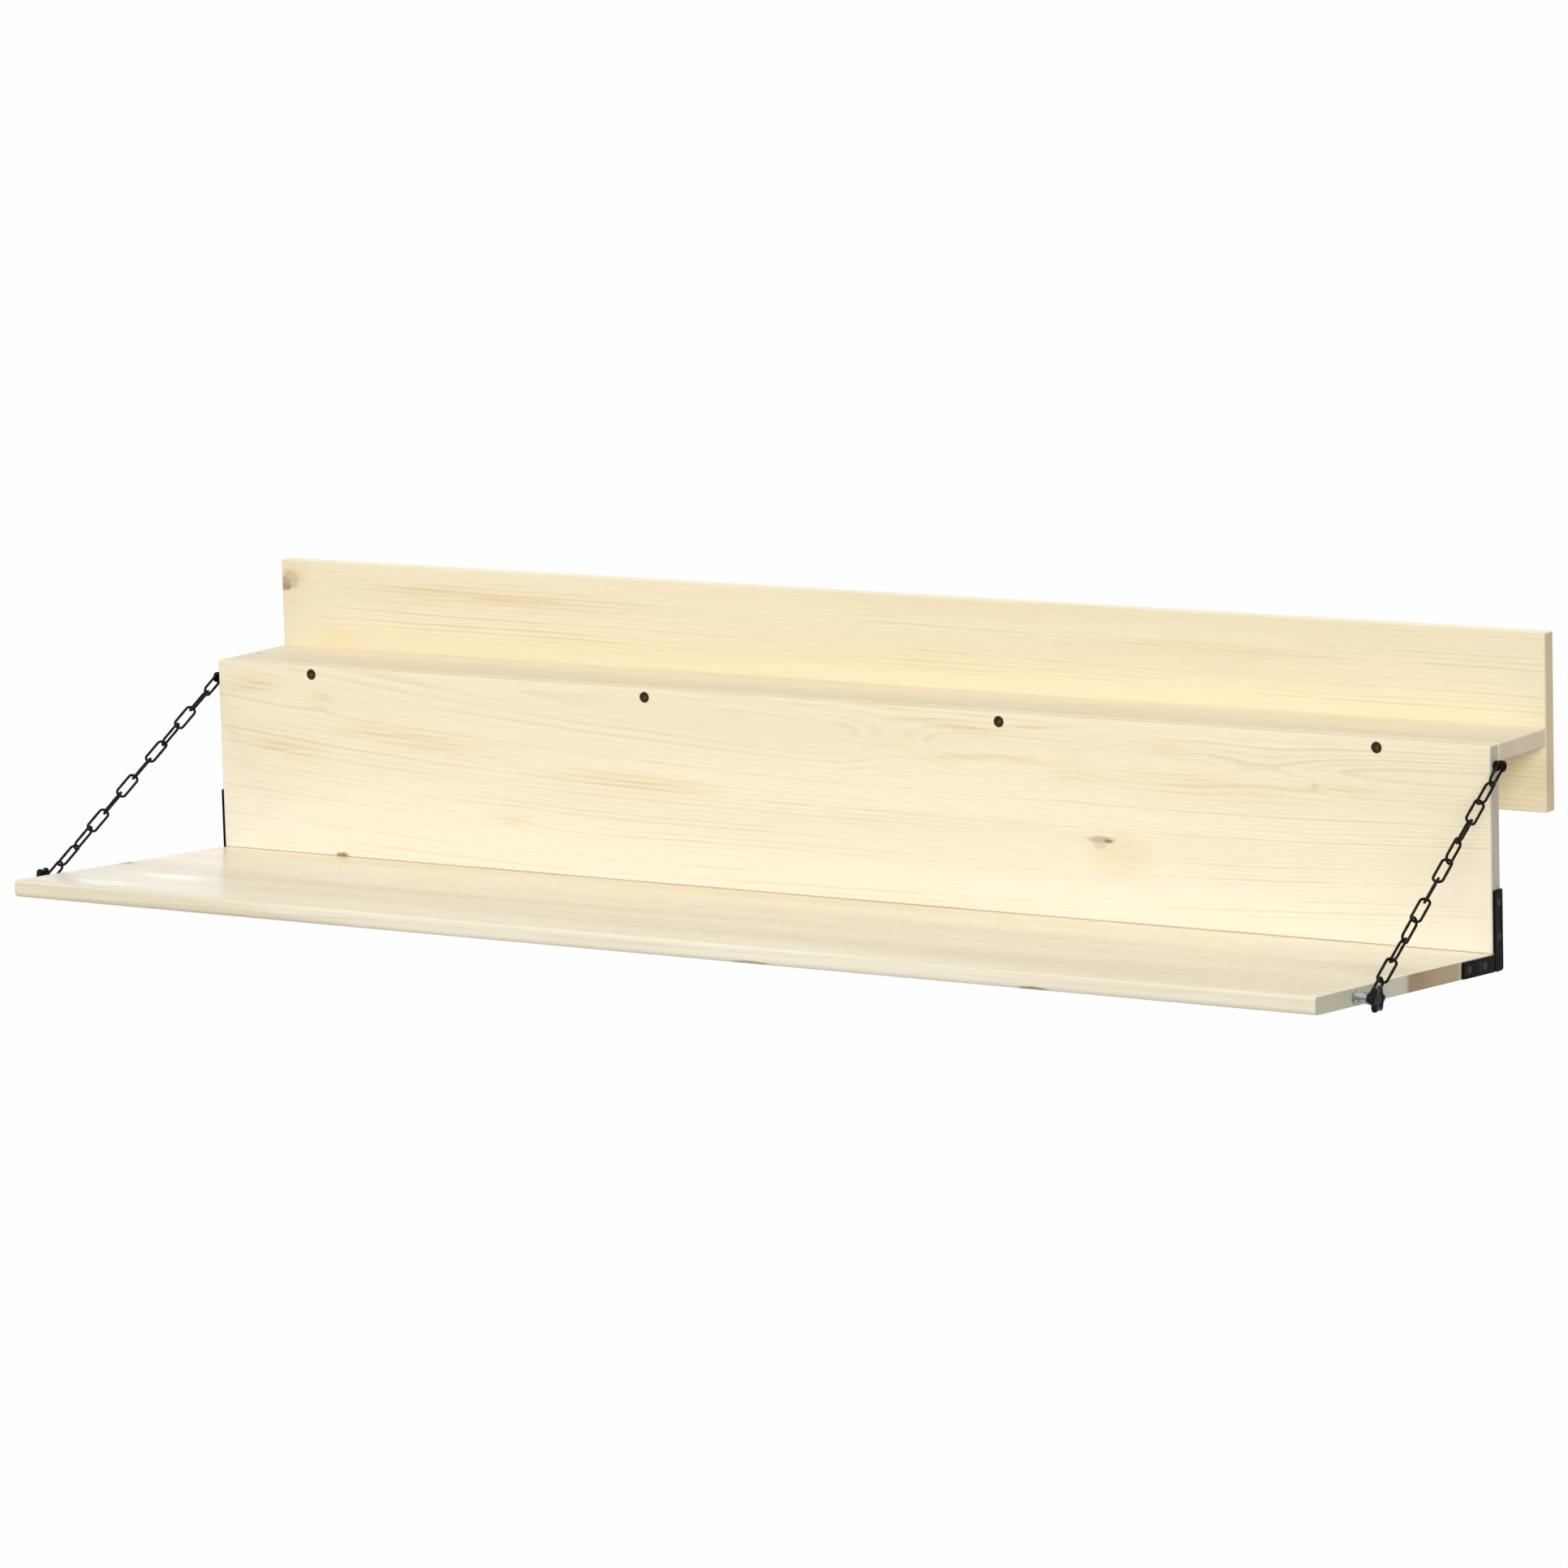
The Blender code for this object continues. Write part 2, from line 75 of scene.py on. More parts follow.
# Studio, and each softbox's name, place, size and power
FLOOR_HEIGHT = -0.95
FLOOR_SIDE = 60.0
FLOOR_CELLS = 8
FLOOR_TONE = 0.5
PAPER_WHITE = 0.98
SKY_LIGHT = 0.42
WHITE = (1, 1, 1, 1)
SOFTBOXES = (
    ("key_softbox", (16.9, -21.6, 12.2), (17.0, 12.8), 5100.0),
    ("top_softbox", (0, -0.6, 4.0), (3.4, 2.6), 16.0),
    ("edge_softbox", (-3.2, -4.3, 2.7), (0.8, 0.8), 26.0),
    ("back_softbox", (0, 10.0, 5.0), (2.5, 3.0), 610.0),
    ("glint_lamp", (-5.3, 6.1, 0.45), (0.35, 0.2), 0.8),
)


# Shader nodes

VALUE = "NodeSocketFloat"
PLACE = "NodeSocketVector"
COLOUR = "NodeSocketColor"

# The colour sockets of a mix node, by number
MIX_FIRST = 6
MIX_SECOND = 7
MIX_RESULT = 2


class Maker:
    """Adds nodes to one tree. A value that is a socket is linked, any other is set."""

    def __init__(self, tree):
        self.tree = tree

    def feed(self, socket, value):
        if isinstance(value, bpy.types.NodeSocket):
            self.tree.links.new(value, socket)
        else:
            socket.default_value = value

    def add(self, kind, inputs=None, **settings):
        node = self.tree.nodes.new(kind)
        for name, value in settings.items():
            setattr(node, name, value)
        for name, value in (inputs or {}).items():
            self.feed(node.inputs[name], value)
        return node

    def fill(self, node, values):
        """Feeds a node's inputs in their own order."""
        for socket, value in zip(node.inputs, values):
            self.feed(socket, value)
        return node.outputs

    def math(self, operation, *values):
        return self.fill(self.add("ShaderNodeMath", operation=operation), values)[0]

    def plus(self, first, second):
        return self.math("ADD", first, second)

    def minus(self, first, second):
        return self.math("SUBTRACT", first, second)

    def times(self, first, second):
        return self.math("MULTIPLY", first, second)

    def swing(self, noise, reach):
        """A noise about its middle, times a reach."""
        return self.times(self.minus(noise, 0.5), reach)

    def rise(self, value, low, high, start=0.0, end=1.0):
        """A soft step from start to end as a value goes from low to high."""
        node = self.add("ShaderNodeMapRange", interpolation_type="SMOOTHSTEP")
        return self.fill(node, (value, low, high, start, end))[0]

    def fall(self, value, low, high):
        """A soft step from 1 to 0 as a value goes from low to high."""
        return self.rise(value, low, high, 1.0, 0.0)

    def vector(self, operation, *values):
        node = self.add("ShaderNodeVectorMath", operation=operation)
        single = operation in ("DOT_PRODUCT", "LENGTH")
        return self.fill(node, values)["Value" if single else "Vector"]

    def stretch(self, vector, scale):
        return self.vector("MULTIPLY", vector, scale)

    def split(self, vector):
        return self.add("ShaderNodeSeparateXYZ", {"Vector": vector}).outputs

    def join(self, x, y, z):
        return self.add("ShaderNodeCombineXYZ", {"X": x, "Y": y, "Z": z}).outputs[0]

    def even(self, value):
        """One value in all three places of a vector or a colour."""
        return self.join(value, value, value)

    def noise(self, vector, detail=2.0, roughness=0.5):
        inputs = {"Vector": vector, "Scale": 1.0, "Detail": detail, "Roughness": roughness}
        return self.add("ShaderNodeTexNoise", inputs).outputs[0]

    def pattern(self, vector, scale, **detail):
        """A noise with a scale of its own along each axis."""
        return self.noise(self.stretch(vector, scale), **detail)

    def blend(self, share, first, second, way="MIX"):
        node = self.add("ShaderNodeMix", data_type="RGBA", blend_type=way)
        self.feed(node.inputs[0], share)
        self.feed(node.inputs[MIX_FIRST], first)
        self.feed(node.inputs[MIX_SECOND], second)
        return node.outputs[MIX_RESULT]

    def place(self, group, inputs):
        return self.add("ShaderNodeGroup", inputs, node_tree=group).outputs


def sockets(kind, *names):
    return [(name, kind) for name in names]


def new_group(name, inputs, outputs):
    """An empty shader group with named sockets: its maker, what goes in and what comes out."""
    tree = bpy.data.node_groups.new(name, "ShaderNodeTree")
    for label, kind in inputs:
        tree.interface.new_socket(label, in_out="INPUT", socket_type=kind)
    for label, kind in outputs:
        tree.interface.new_socket(label, in_out="OUTPUT", socket_type=kind)
    maker = Maker(tree)
    return maker, maker.add("NodeGroupInput").outputs, maker.add("NodeGroupOutput").inputs


def new_material(name):
    material = bpy.data.materials.new(name)
    material.use_nodes = True
    return material, Maker(material.node_tree), material.node_tree.nodes["Principled BSDF"]


def relief(maker, shader, height, distance, strength):
    bump = maker.add("ShaderNodeBump", {"Height": height, "Distance": distance, "Strength": strength})
    maker.feed(shader.inputs["Normal"], bump.outputs["Normal"])


def srgb(red, green, blue):
    """A colour as it shows on a screen, from 0 to 255, as the shader's own."""
    shown = [v / 255 for v in (red, green, blue)]
    return (*[v / 12.92 if v <= 0.04045 else ((v + 0.055) / 1.055) ** 2.4 for v in shown], 1)


def dress(obj, finish):
    """Puts a finish on every slot of a piece."""
    if not obj.material_slots:
        obj.data.materials.append(finish)
    for slot in obj.material_slots:
        slot.material = finish


# Spruce

PALE = srgb(252, 242, 214)
PALEST = srgb(253, 245, 227)
TAN = srgb(222, 205, 160)
AMBER = srgb(228, 194, 134)
KNOT_HALO = srgb(238, 208, 150)
KNOT_EYE = srgb(142, 112, 84)
END_GREY = srgb(192, 187, 170)
WOOD_SHINE = 0.35
FIBRE_DEPTH = 0.00012
FIBRE_STRENGTH = 0.6

# How often each pattern in the wood changes in a metre along, across and through a board
SLOW_WANDER = (1.7, 8.0, 8.0)
QUICK_WANDER = (7.0, 45.0, 45.0)
FIBRES = (26.0, 1500.0, 1500.0)
BANDS = (3.2, 30.0, 30.0)
BROAD_BANDS = (1.1, 20.0, 20.0)
PORES = (60.0, 2600.0, 2600.0)
KNOT_RAGS = (260.0, 420.0, 420.0)
KNOT_THREADS = (40.0, 300.0, 300.0)
STREAK_THREADS = (9.0, 420.0, 420.0)

# The noise of the busier patterns
RICH = {"detail": 3.0, "roughness": 0.6}

# How far the rings wander and vary, and how their latewood comes and goes within one ring
QUICK_WANDER_REACH = 0.0035
UNEVEN_RINGS = 70.0
RING_VARIES = 1.4
LATEWOOD_COMES = (0.36, 0.93)
LATEWOOD_GOES = (0.94, 1.0)

# How knots and streaks fade, by the distance from their middles in half sizes
KNOT_RAGGED = 0.9
KNOT_EYE_EDGE = (0.55, 1.15)
KNOT_HALO_EDGE = (0.6, 3.2)
KNOT_BEND_FADE = -0.14
STREAK_FADE = -1.6

# What a noise gives, from low to high: its two limits, then the share or shade at each
KNOT_THREAD_SHARE = (0.3, 0.7, 0.3, 1.0)
STREAK_THREAD_SHARE = (0.30, 0.66, 0.25, 1.0)
BAND_SHARE = (0.38, 0.68, 0.1, 1.0)
TINT_SHARE = (0.40, 0.68)
FLECK_SHADE = (0.30, 0.72, 0.955, 1.02)

# How strongly each pattern shows in the wood's colour, its roughness and its relief
FAINTEST_RING = 0.22
SAPWOOD_BLUR = 0.06
EARLYWOOD_AMBER = 0.5
HALO_SHARE = 0.55
END_TURN = (0.45, 0.9)
END_LIGHTEST = 1.09
END_LATEWOOD = 0.06
END_PORES = 0.18
END_BROAD = 0.35
ROUGH_FIBRES = 0.16
ROUGH_BANDS = 0.20
ROUGH_END = 0.28
SLEEK_LATEWOOD = 0.05
SLEEK_PATCH = 0.24
HIGH_FIBRES = 0.6
HIGH_LATEWOOD = 0.25
HIGH_PORES = 1.2

RING_INPUTS = sockets(PLACE, "Position")
RING_INPUTS += sockets(VALUE, "Pith Across", "Pith Depth", "Pith Slant", "Pith Bow", "Pith Dive")
RING_INPUTS += sockets(VALUE, "Fan", "Ring Width", "Wander", "Swell", "Seed")
WOOD_INPUTS = sockets(PLACE, "Normal") + sockets(COLOUR, "Earlywood", "Sapwood", "Latewood", "End Grain")
WOOD_INPUTS += sockets(VALUE, "Sapwood Edge", "Contrast", "Banding", "Roughness")
WOOD_INPUTS += sockets(VALUE, "Eye", "Halo", "Streak", "Smooth")
MARK_INPUTS = sockets(PLACE, "Position", "Centre", "Half Size")
SURFACE_OUTPUTS = sockets(COLOUR, "Color") + sockets(VALUE, "Roughness", "Height")


def seeded(maker, given):
    """A board's positions, moved on by its seed so that no two boards share a pattern."""
    return maker.vector("ADD", given["Position"], maker.join(given["Seed"], given["Seed"], 0.0))


def growth_rings():
    """Year rings about a pith that slants and bows: where latewood shows, and each ring's tone."""
    maker, given, out = new_group("growth_rings", RING_INPUTS, sockets(VALUE, "Latewood", "Ring Tone"))
    along, across, through = maker.split(given["Position"])
    moved = seeded(maker, given)
    slow = maker.pattern(moved, SLOW_WANDER, detail=1.0)
    quick = maker.pattern(moved, QUICK_WANDER)
    wander = maker.plus(maker.swing(slow, given["Wander"]), maker.swing(quick, QUICK_WANDER_REACH))
    slope = maker.plus(given["Pith Slant"], maker.times(along, given["Pith Bow"]))
    spread = maker.plus(1.0, maker.times(along, given["Fan"]))
    side = maker.times(maker.minus(across, given["Pith Across"]), spread)
    side = maker.plus(side, maker.plus(maker.times(along, slope), wander))
    deep = maker.minus(through, given["Pith Depth"])
    deep = maker.plus(deep, maker.times(along, given["Pith Dive"]))
    reach = maker.math("SQRT", maker.plus(maker.times(side, side), maker.times(deep, deep)))
    reach = maker.plus(reach, given["Swell"])
    uneven = maker.join(maker.times(reach, UNEVEN_RINGS), given["Seed"], 0.0)
    uneven = maker.times(maker.noise(uneven, detail=1.0), RING_VARIES)
    phase = maker.plus(maker.math("DIVIDE", reach, given["Ring Width"]), uneven)
    part = maker.math("FRACT", phase)
    late = maker.times(maker.rise(part, *LATEWOOD_COMES), maker.fall(part, *LATEWOOD_GOES))
    ring = maker.join(maker.math("FLOOR", phase), given["Seed"], 0.0)
    tone = maker.add("ShaderNodeTexWhiteNoise", {"Vector": ring}, noise_dimensions="2D")
    maker.feed(out["Latewood"], late)
    maker.feed(out["Ring Tone"], tone.outputs["Value"])
    return maker.tree


def knot():
    """A knot in a board: its dark eye, the warm wood about it, and how far it bends the rings."""
    inputs = MARK_INPUTS + sockets(VALUE, "Bend")
    maker, given, out = new_group("knot", inputs, sockets(VALUE, "Eye", "Halo", "Swell"))
    offset = maker.vector("SUBTRACT", given["Position"], given["Centre"])
    away = maker.vector("LENGTH", maker.vector("DIVIDE", offset, given["Half Size"]))
    ragged = maker.pattern(given["Position"], KNOT_RAGS, detail=3.0)
    away = maker.plus(away, maker.swing(ragged, KNOT_RAGGED))
    maker.feed(out["Eye"], maker.fall(away, *KNOT_EYE_EDGE))
    threads = maker.rise(maker.pattern(given["Position"], KNOT_THREADS), *KNOT_THREAD_SHARE)
    maker.feed(out["Halo"], maker.times(maker.fall(away, *KNOT_HALO_EDGE), threads))
    near = maker.math("EXPONENT", maker.times(maker.times(away, away), KNOT_BEND_FADE))
    maker.feed(out["Swell"], maker.times(near, given["Bend"]))
    return maker.tree


def streak():
    """A long streak that follows the fibres and fades at its ends."""
    inputs = MARK_INPUTS + sockets(VALUE, "Slant")
    maker, given, out = new_group("streak", inputs, sockets(VALUE, "Mask"))
    x, y, _ = maker.split(maker.vector("SUBTRACT", given["Position"], given["Centre"]))
    y = maker.minus(y, maker.times(x, given["Slant"]))
    half_x, half_y, _ = maker.split(given["Half Size"])
    x = maker.math("DIVIDE", x, half_x)
    y = maker.math("DIVIDE", y, half_y)
    away = maker.plus(maker.times(x, x), maker.times(y, y))
    body = maker.math("EXPONENT", maker.times(away, STREAK_FADE))
    threads = maker.rise(maker.pattern(given["Position"], STREAK_THREADS), *STREAK_THREAD_SHARE)
    maker.feed(out["Mask"], maker.times(body, threads))
    return maker.tree


def spruce_wood(rings):
    """Planed spruce from its masks: colour, roughness and the fine relief of its fibres."""
    maker, given, out = new_group("spruce_wood", RING_INPUTS + WOOD_INPUTS, SURFACE_OUTPUTS)
    ring = maker.place(rings, {name: given[name] for name, _ in RING_INPUTS})
    latewood, tone = ring["Latewood"], ring["Ring Tone"]
    moved = seeded(maker, given)
    fibre = maker.pattern(moved, FIBRES, **RICH)
    bands = maker.pattern(moved, BANDS, **RICH)
    broad = maker.pattern(moved, BROAD_BANDS, **RICH)
    pores = maker.pattern(moved, PORES)

    # The long faces: rings, bands and flecks, then streaks and knots
    strength = maker.plus(maker.times(maker.times(tone, tone), 1 - FAINTEST_RING), FAINTEST_RING)
    strength = maker.times(strength, maker.rise(bands, *BAND_SHARE))
    late = maker.times(maker.times(latewood, strength), given["Contrast"])
    edge = maker.minus(maker.split(given["Position"])[1], given["Sapwood Edge"])
    young = maker.fall(edge, -SAPWOOD_BLUR, SAPWOOD_BLUR)
    colour = maker.blend(young, given["Earlywood"], given["Sapwood"])
    colour = maker.blend(late, colour, given["Latewood"])
    tinted = maker.times(maker.rise(broad, *TINT_SHARE), given["Banding"])
    colour = maker.blend(tinted, colour, given["Latewood"])
    flecks = maker.rise(fibre, *FLECK_SHADE)
    colour = maker.blend(1.0, colour, maker.even(flecks), "MULTIPLY")
    amber = maker.plus(EARLYWOOD_AMBER, maker.times(latewood, 1 - EARLYWOOD_AMBER))
    colour = maker.blend(maker.times(given["Streak"], amber), colour, AMBER)
    colour = maker.blend(maker.times(given["Halo"], HALO_SHARE), colour, KNOT_HALO)
    colour = maker.blend(given["Eye"], colour, KNOT_EYE)

    # The ends: a tone of their own, darker in the latewood and the pores
    end = maker.rise(maker.math("ABSOLUTE", maker.split(given["Normal"])[0]), *END_TURN)
    dark = maker.plus(maker.times(latewood, END_LATEWOOD), maker.times(pores, END_PORES))
    shade = maker.minus(END_LIGHTEST, maker.plus(dark, maker.swing(broad, END_BROAD)))
    end_colour = maker.blend(1.0, given["End Grain"], maker.even(shade), "MULTIPLY")
    maker.feed(out["Color"], maker.blend(end, colour, end_colour))

    # Roughness and relief
    rough = maker.plus(given["Roughness"], maker.swing(fibre, ROUGH_FIBRES))
    rough = maker.plus(rough, maker.swing(bands, ROUGH_BANDS))
    sleek = maker.plus(maker.times(latewood, SLEEK_LATEWOOD), maker.times(given["Smooth"], SLEEK_PATCH))
    maker.feed(out["Roughness"], maker.plus(maker.minus(rough, sleek), maker.times(end, ROUGH_END)))
    height = maker.plus(maker.times(fibre, HIGH_FIBRES), maker.times(latewood, HIGH_LATEWOOD))
    open_pores = maker.times(maker.times(pores, end), HIGH_PORES)
    maker.feed(out["Height"], maker.plus(height, open_pores))
    return maker.tree


RINGS = growth_rings()
KNOT = knot()
STREAK = streak()
SPRUCE = spruce_wood(RINGS)


def most(maker, masks):
    """The strongest of several masks."""
    total = 0.0
    for mask in masks:
        total = maker.math("MAXIMUM", total, mask)
    return total


def streak_masks(maker, place, streaks):
    """The masks of streaks, given by centre, half size, slant and strength."""
    masks = []
    for (x, y), (half_x, half_y), slant, strength in streaks:
        size = {"Centre": (x, y, 0), "Half Size": (half_x, half_y, 1), "Slant": slant}
        made = maker.place(STREAK, {"Position": place, **size})
        masks.append(maker.times(made["Mask"], strength))
    return masks


def end_ramp(maker, place, tones):
    """The tone of a board's end, given by its places across the board."""
    ramp = maker.add("ShaderNodeValToRGB")
    stops = ramp.color_ramp.elements
    stops.remove(stops[1])
    stops[0].color = tones[0][1]
    for at, tone in tones[1:]:
        stops.new(at).color = tone
    maker.feed(ramp.inputs[0], maker.split(place)[1])
    return ramp.outputs[0]


def spruce_board(
    name, origin, across, through, figure, colours, knots=(), streaks=(), end_tones=(), sleek=()
):
    """The finish of one board, with its own pith, knots, streaks and sleek patches.

    Positions on the board run along the table, across the board and into it, from the origin.
    A knot is given by its centre, its half size, how far it bends the rings, and how strong its
    eye and its halo are.
    """
    material, maker, shader = new_material(name)
    seen = maker.add("ShaderNodeTexCoord").outputs
    offset = maker.vector("ADD", seen["Object"], tuple(-Vector(origin)))
    place = maker.join(*[maker.vector("DOT_PRODUCT", offset, way) for way in ((1, 0, 0), across, through)])
    eyes, halos, swell = [], [], 0.0
    for centre, half_size, bend, eye, halo in knots:
        size = {"Position": place, "Centre": centre, "Half Size": half_size, "Bend": bend}
        made = maker.place(KNOT, size)
        eyes.append(maker.times(made["Eye"], eye))
        halos.append(maker.times(made["Halo"], halo))
        swell = maker.plus(swell, made["Swell"])
    early, sapwood, late, end = colours
    wood = {
        "Position": place,
        "Normal": seen["Normal"],
        "Earlywood": early,
        "Sapwood": sapwood,
        "Latewood": late,
        "End Grain": end_ramp(maker, place, end_tones) if end_tones else end,
        "Swell": swell,
        "Eye": most(maker, eyes),
        "Halo": most(maker, halos),
        "Streak": most(maker, streak_masks(maker, place, streaks)),
        "Smooth": most(maker, streak_masks(maker, place, sleek)),
        **figure,
    }
    made = maker.place(SPRUCE, wood)
    maker.feed(shader.inputs["Base Color"], made["Color"])
    maker.feed(shader.inputs["Roughness"], made["Roughness"])
    shader.inputs["Specular IOR Level"].default_value = WOOD_SHINE
    relief(maker, shader, made["Height"], FIBRE_DEPTH, FIBRE_STRENGTH)
    return material


# A knot's half size in the depth of a board that it runs right through
THROUGH = 1.0

# The figure of a board whose pith runs straight and whose sapwood is cut away
STRAIGHT_RINGS = {"Pith Bow": 0.0, "Pith Dive": 0.0, "Fan": 0.0, "Sapwood Edge": -0.20}

FRONT_PANEL_SPRUCE = spruce_board(
    "spruce_front_panel",
    origin=(0, FRONT_PANEL_FACE, 0),
    across=(0, 0, 1),
    through=(0, 1, 0),
    figure={
        "Pith Across": -0.010,
        "Pith Depth": 0.013,
        "Pith Slant": 0.034,
        "Pith Bow": -0.043,
        "Pith Dive": 0.012,
        "Fan": 0.38,
        "Sapwood Edge": -0.085,
        "Ring Width": 0.0040,
        "Wander": 0.010,
        "Seed": 3.1,
        "Contrast": 0.62,
        "Banding": 0.14,
        "Roughness": 0.50,
    },
    colours=(PALE, PALEST, TAN, END_GREY),
    knots=(
        ((0.2650, -0.0820, 0), (0.0055, 0.0019, THROUGH), 0.003, 0.85, 0.2),
        ((0.2590, -0.0814, 0), (0.0140, 0.0032, THROUGH), 0.0, 0.45, 0.2),
        ((0.2580, -0.0846, 0), (0.0075, 0.0046, THROUGH), 0.0, 0.24, 0.2),
        ((0.2763, -0.0935, 0), (0.0130, 0.0080, THROUGH), 0.002, 0.0, 0.75),
        ((-0.490, -0.012, 0), (0.008, 0.004, THROUGH), 0.005, 0.06, 0.5),
        ((-0.303, -0.103, 0), (0.010, 0.004, THROUGH), 0.004, 0.04, 0.3),
        # A small dark spot on the bottom edge, at the seam above the leaf, drawn as a knot
        ((-0.477, -0.1445, 0), (0.007, 0.0022, THROUGH), 0.002, 0.8, 0.2),
        ((0.449, -0.026, 0), (0.004, 0.002, THROUGH), 0.003, 0.15, 0.6),
        ((0.069, -0.020, 0), (0.014, 0.008, THROUGH), 0.010, 0.0, 0.1),
        ((0.233, -0.030, 0), (0.009, 0.006, THROUGH), 0.005, 0.0, 0.35),
        ((0.322, -0.006, 0), (0.009, 0.003, THROUGH), 0.004, 0.0, 0.4),
        ((0.407, -0.017, 0), (0.022, 0.007, THROUGH), 0.008, 0.0, 0.0),
    ),
    streaks=(
        ((-0.173, -0.064), (0.095, 0.007), -0.03, 0.75),
        ((-0.408, -0.042), (0.095, 0.010), -0.08, 0.70),
        ((-0.538, -0.056), (0.050, 0.008), -0.05, 0.75),
        ((-0.566, -0.004), (0.034, 0.010), 0.0, 0.75),
        ((0.140, -0.023), (0.050, 0.0034), 0.04, 0.90),
        ((0.128, 0.001), (0.040, 0.0034), -0.05, 0.90),
        ((0.200, 0.0045), (0.060, 0.0022), 0.085, 0.60),
        ((0.478, -0.028), (0.036, 0.0026), -0.01, 0.70),
        ((0.191, -0.0233), (0.036, 0.0030), -0.064, 0.75),
        ((0.361, -0.0330), (0.085, 0.0110), -0.05, 0.45),
    ),
)

BACK_PANEL_SPRUCE = spruce_board(
    "spruce_back_panel",
    origin=(0, BACK_PANEL_FACE, 0),
    across=(0, 0, 1),
    through=(0, 1, 0),
    figure={
        **STRAIGHT_RINGS,
        "Pith Across": -0.130,
        "Pith Depth": 0.050,
        "Pith Slant": 0.012,
        "Ring Width": 0.0042,
        "Wander": 0.010,
        "Seed": 7.7,
        "Contrast": 0.62,
        "Banding": 0.20,
        "Roughness": 0.50,
    },
    colours=(srgb(251, 239, 208), PALEST, TAN, srgb(214, 196, 163)),
    knots=(
        ((-0.5910, 0.0714, 0), (0.0105, 0.0088, THROUGH), 0.006, 0.32, 0.9),
        ((-0.5960, 0.0685, 0), (0.0075, 0.0075, THROUGH), 0.0, 0.55, 0.0),
        ((-0.5965, 0.0655, 0), (0.0075, 0.0042, THROUGH), 0.0, 0.72, 0.0),
        ((-0.5940, 0.0550, 0), (0.0060, 0.0060, THROUGH), 0.003, 0.0, 0.6),
        ((-0.545, 0.022, 0), (0.012, 0.006, THROUGH), 0.004, 0.0, 0.4),
    ),
    streaks=(
        ((-0.395, 0.066), (0.150, 0.008), -0.025, 0.85),
        ((0.300, 0.060), (0.120, 0.006), -0.01, 0.55),
        # Painted warm bounce light: an amber patch low on the right end, under the shelf, where light
        # reflected between the boards warms the wood
        ((0.575, -0.032), (0.090, 0.030), 0.0, 0.30),
    ),
)

SHELF_SPRUCE = spruce_board(
    "spruce_shelf",
    origin=(0, 0, SHELF_TOP),
    across=(0, 1, 0),
    through=(0, 0, -1),
    figure={
        **STRAIGHT_RINGS,
        "Pith Across": 0.090,
        "Pith Depth": 0.030,
        "Pith Slant": 0.008,
        "Ring Width": 0.0044,
        "Wander": 0.010,
        "Seed": 12.4,
        "Contrast": 0.56,
        "Banding": 0.25,
        "Roughness": 0.48,
    },
    colours=(srgb(249, 237, 210), PALEST, TAN, srgb(220, 204, 179)),
    knots=(((-0.590, -0.008, 0), (0.004, 0.002, THROUGH), 0.002, 0.6, 0.2),),
)

LEAF_SPRUCE = spruce_board(
    "spruce_leaf",
    origin=PIVOT,
    across=LEAF_OUT,
    through=LEAF_DOWN,
    figure={
        **STRAIGHT_RINGS,
        "Pith Across": 0.360,
        "Pith Depth": 0.040,
        "Pith Slant": 0.010,
        "Ring Width": 0.0050,
        "Wander": 0.014,
        "Seed": 21.9,
        "Contrast": 0.88,
        "Banding": 0.40,
        "Roughness": 0.32,
    },
    colours=(srgb(254, 247, 223), PALEST, srgb(224, 205, 170), END_GREY),
    knots=(
        # A dark mark on the leaf's left end, drawn as a knot
        ((-0.600, 0.149, 0), (0.010, 0.011, THROUGH), 0.002, 0.95, 0.1),
        ((0.112, 0.293, 0.006), (0.020, 0.010, 0.002), 0.0, 0.6, 0.0),
        ((0.3625, 0.293, 0.006), (0.014, 0.010, 0.002), 0.0, 0.8, 0.0),
    ),
    streaks=(
        ((-0.430, 0.037), (0.110, 0.010), 0.01, 0.35),
        ((-0.133, 0.061), (0.150, 0.012), 0.0, 0.40),
        ((0.250, 0.120), (0.260, 0.012), 0.0, 0.25),
    ),
    end_tones=(
        (0.0, srgb(200, 191, 167)),
        (0.063, srgb(200, 191, 167)),
        (0.065, srgb(184, 166, 133)),
        (0.147, srgb(161, 135, 104)),
        (0.149, srgb(205, 203, 183)),
        (0.230, srgb(204, 200, 176)),
        (0.300, srgb(200, 196, 170)),
    ),
    sleek=(
        ((-0.507, 0.201), (0.040, 0.016), 0.0, 1.0),
        ((-0.543, 0.267), (0.045, 0.020), 0.0, 1.0),
    ),
)


def finish_boards():
    dress(nodes["front_panel"], FRONT_PANEL_SPRUCE)
    dress(nodes["back_panel"], BACK_PANEL_SPRUCE)
    dress(nodes["shelf_board"], SHELF_SPRUCE)
    dress(nodes["table_leaf"], LEAF_SPRUCE)


# Metal and plastic

SKIN_PATCHES = (160.0, 160.0, 160.0)
SKIN_LIGHTENS = (0.35, 0.75)
SKIN_ROUGH_PATCHES = 0.30
SKIN_ROUGH_GRAIN = 0.05
SKIN_STRENGTH = 0.5
SOCKET_WEAR = (0.0011, 0.0020)


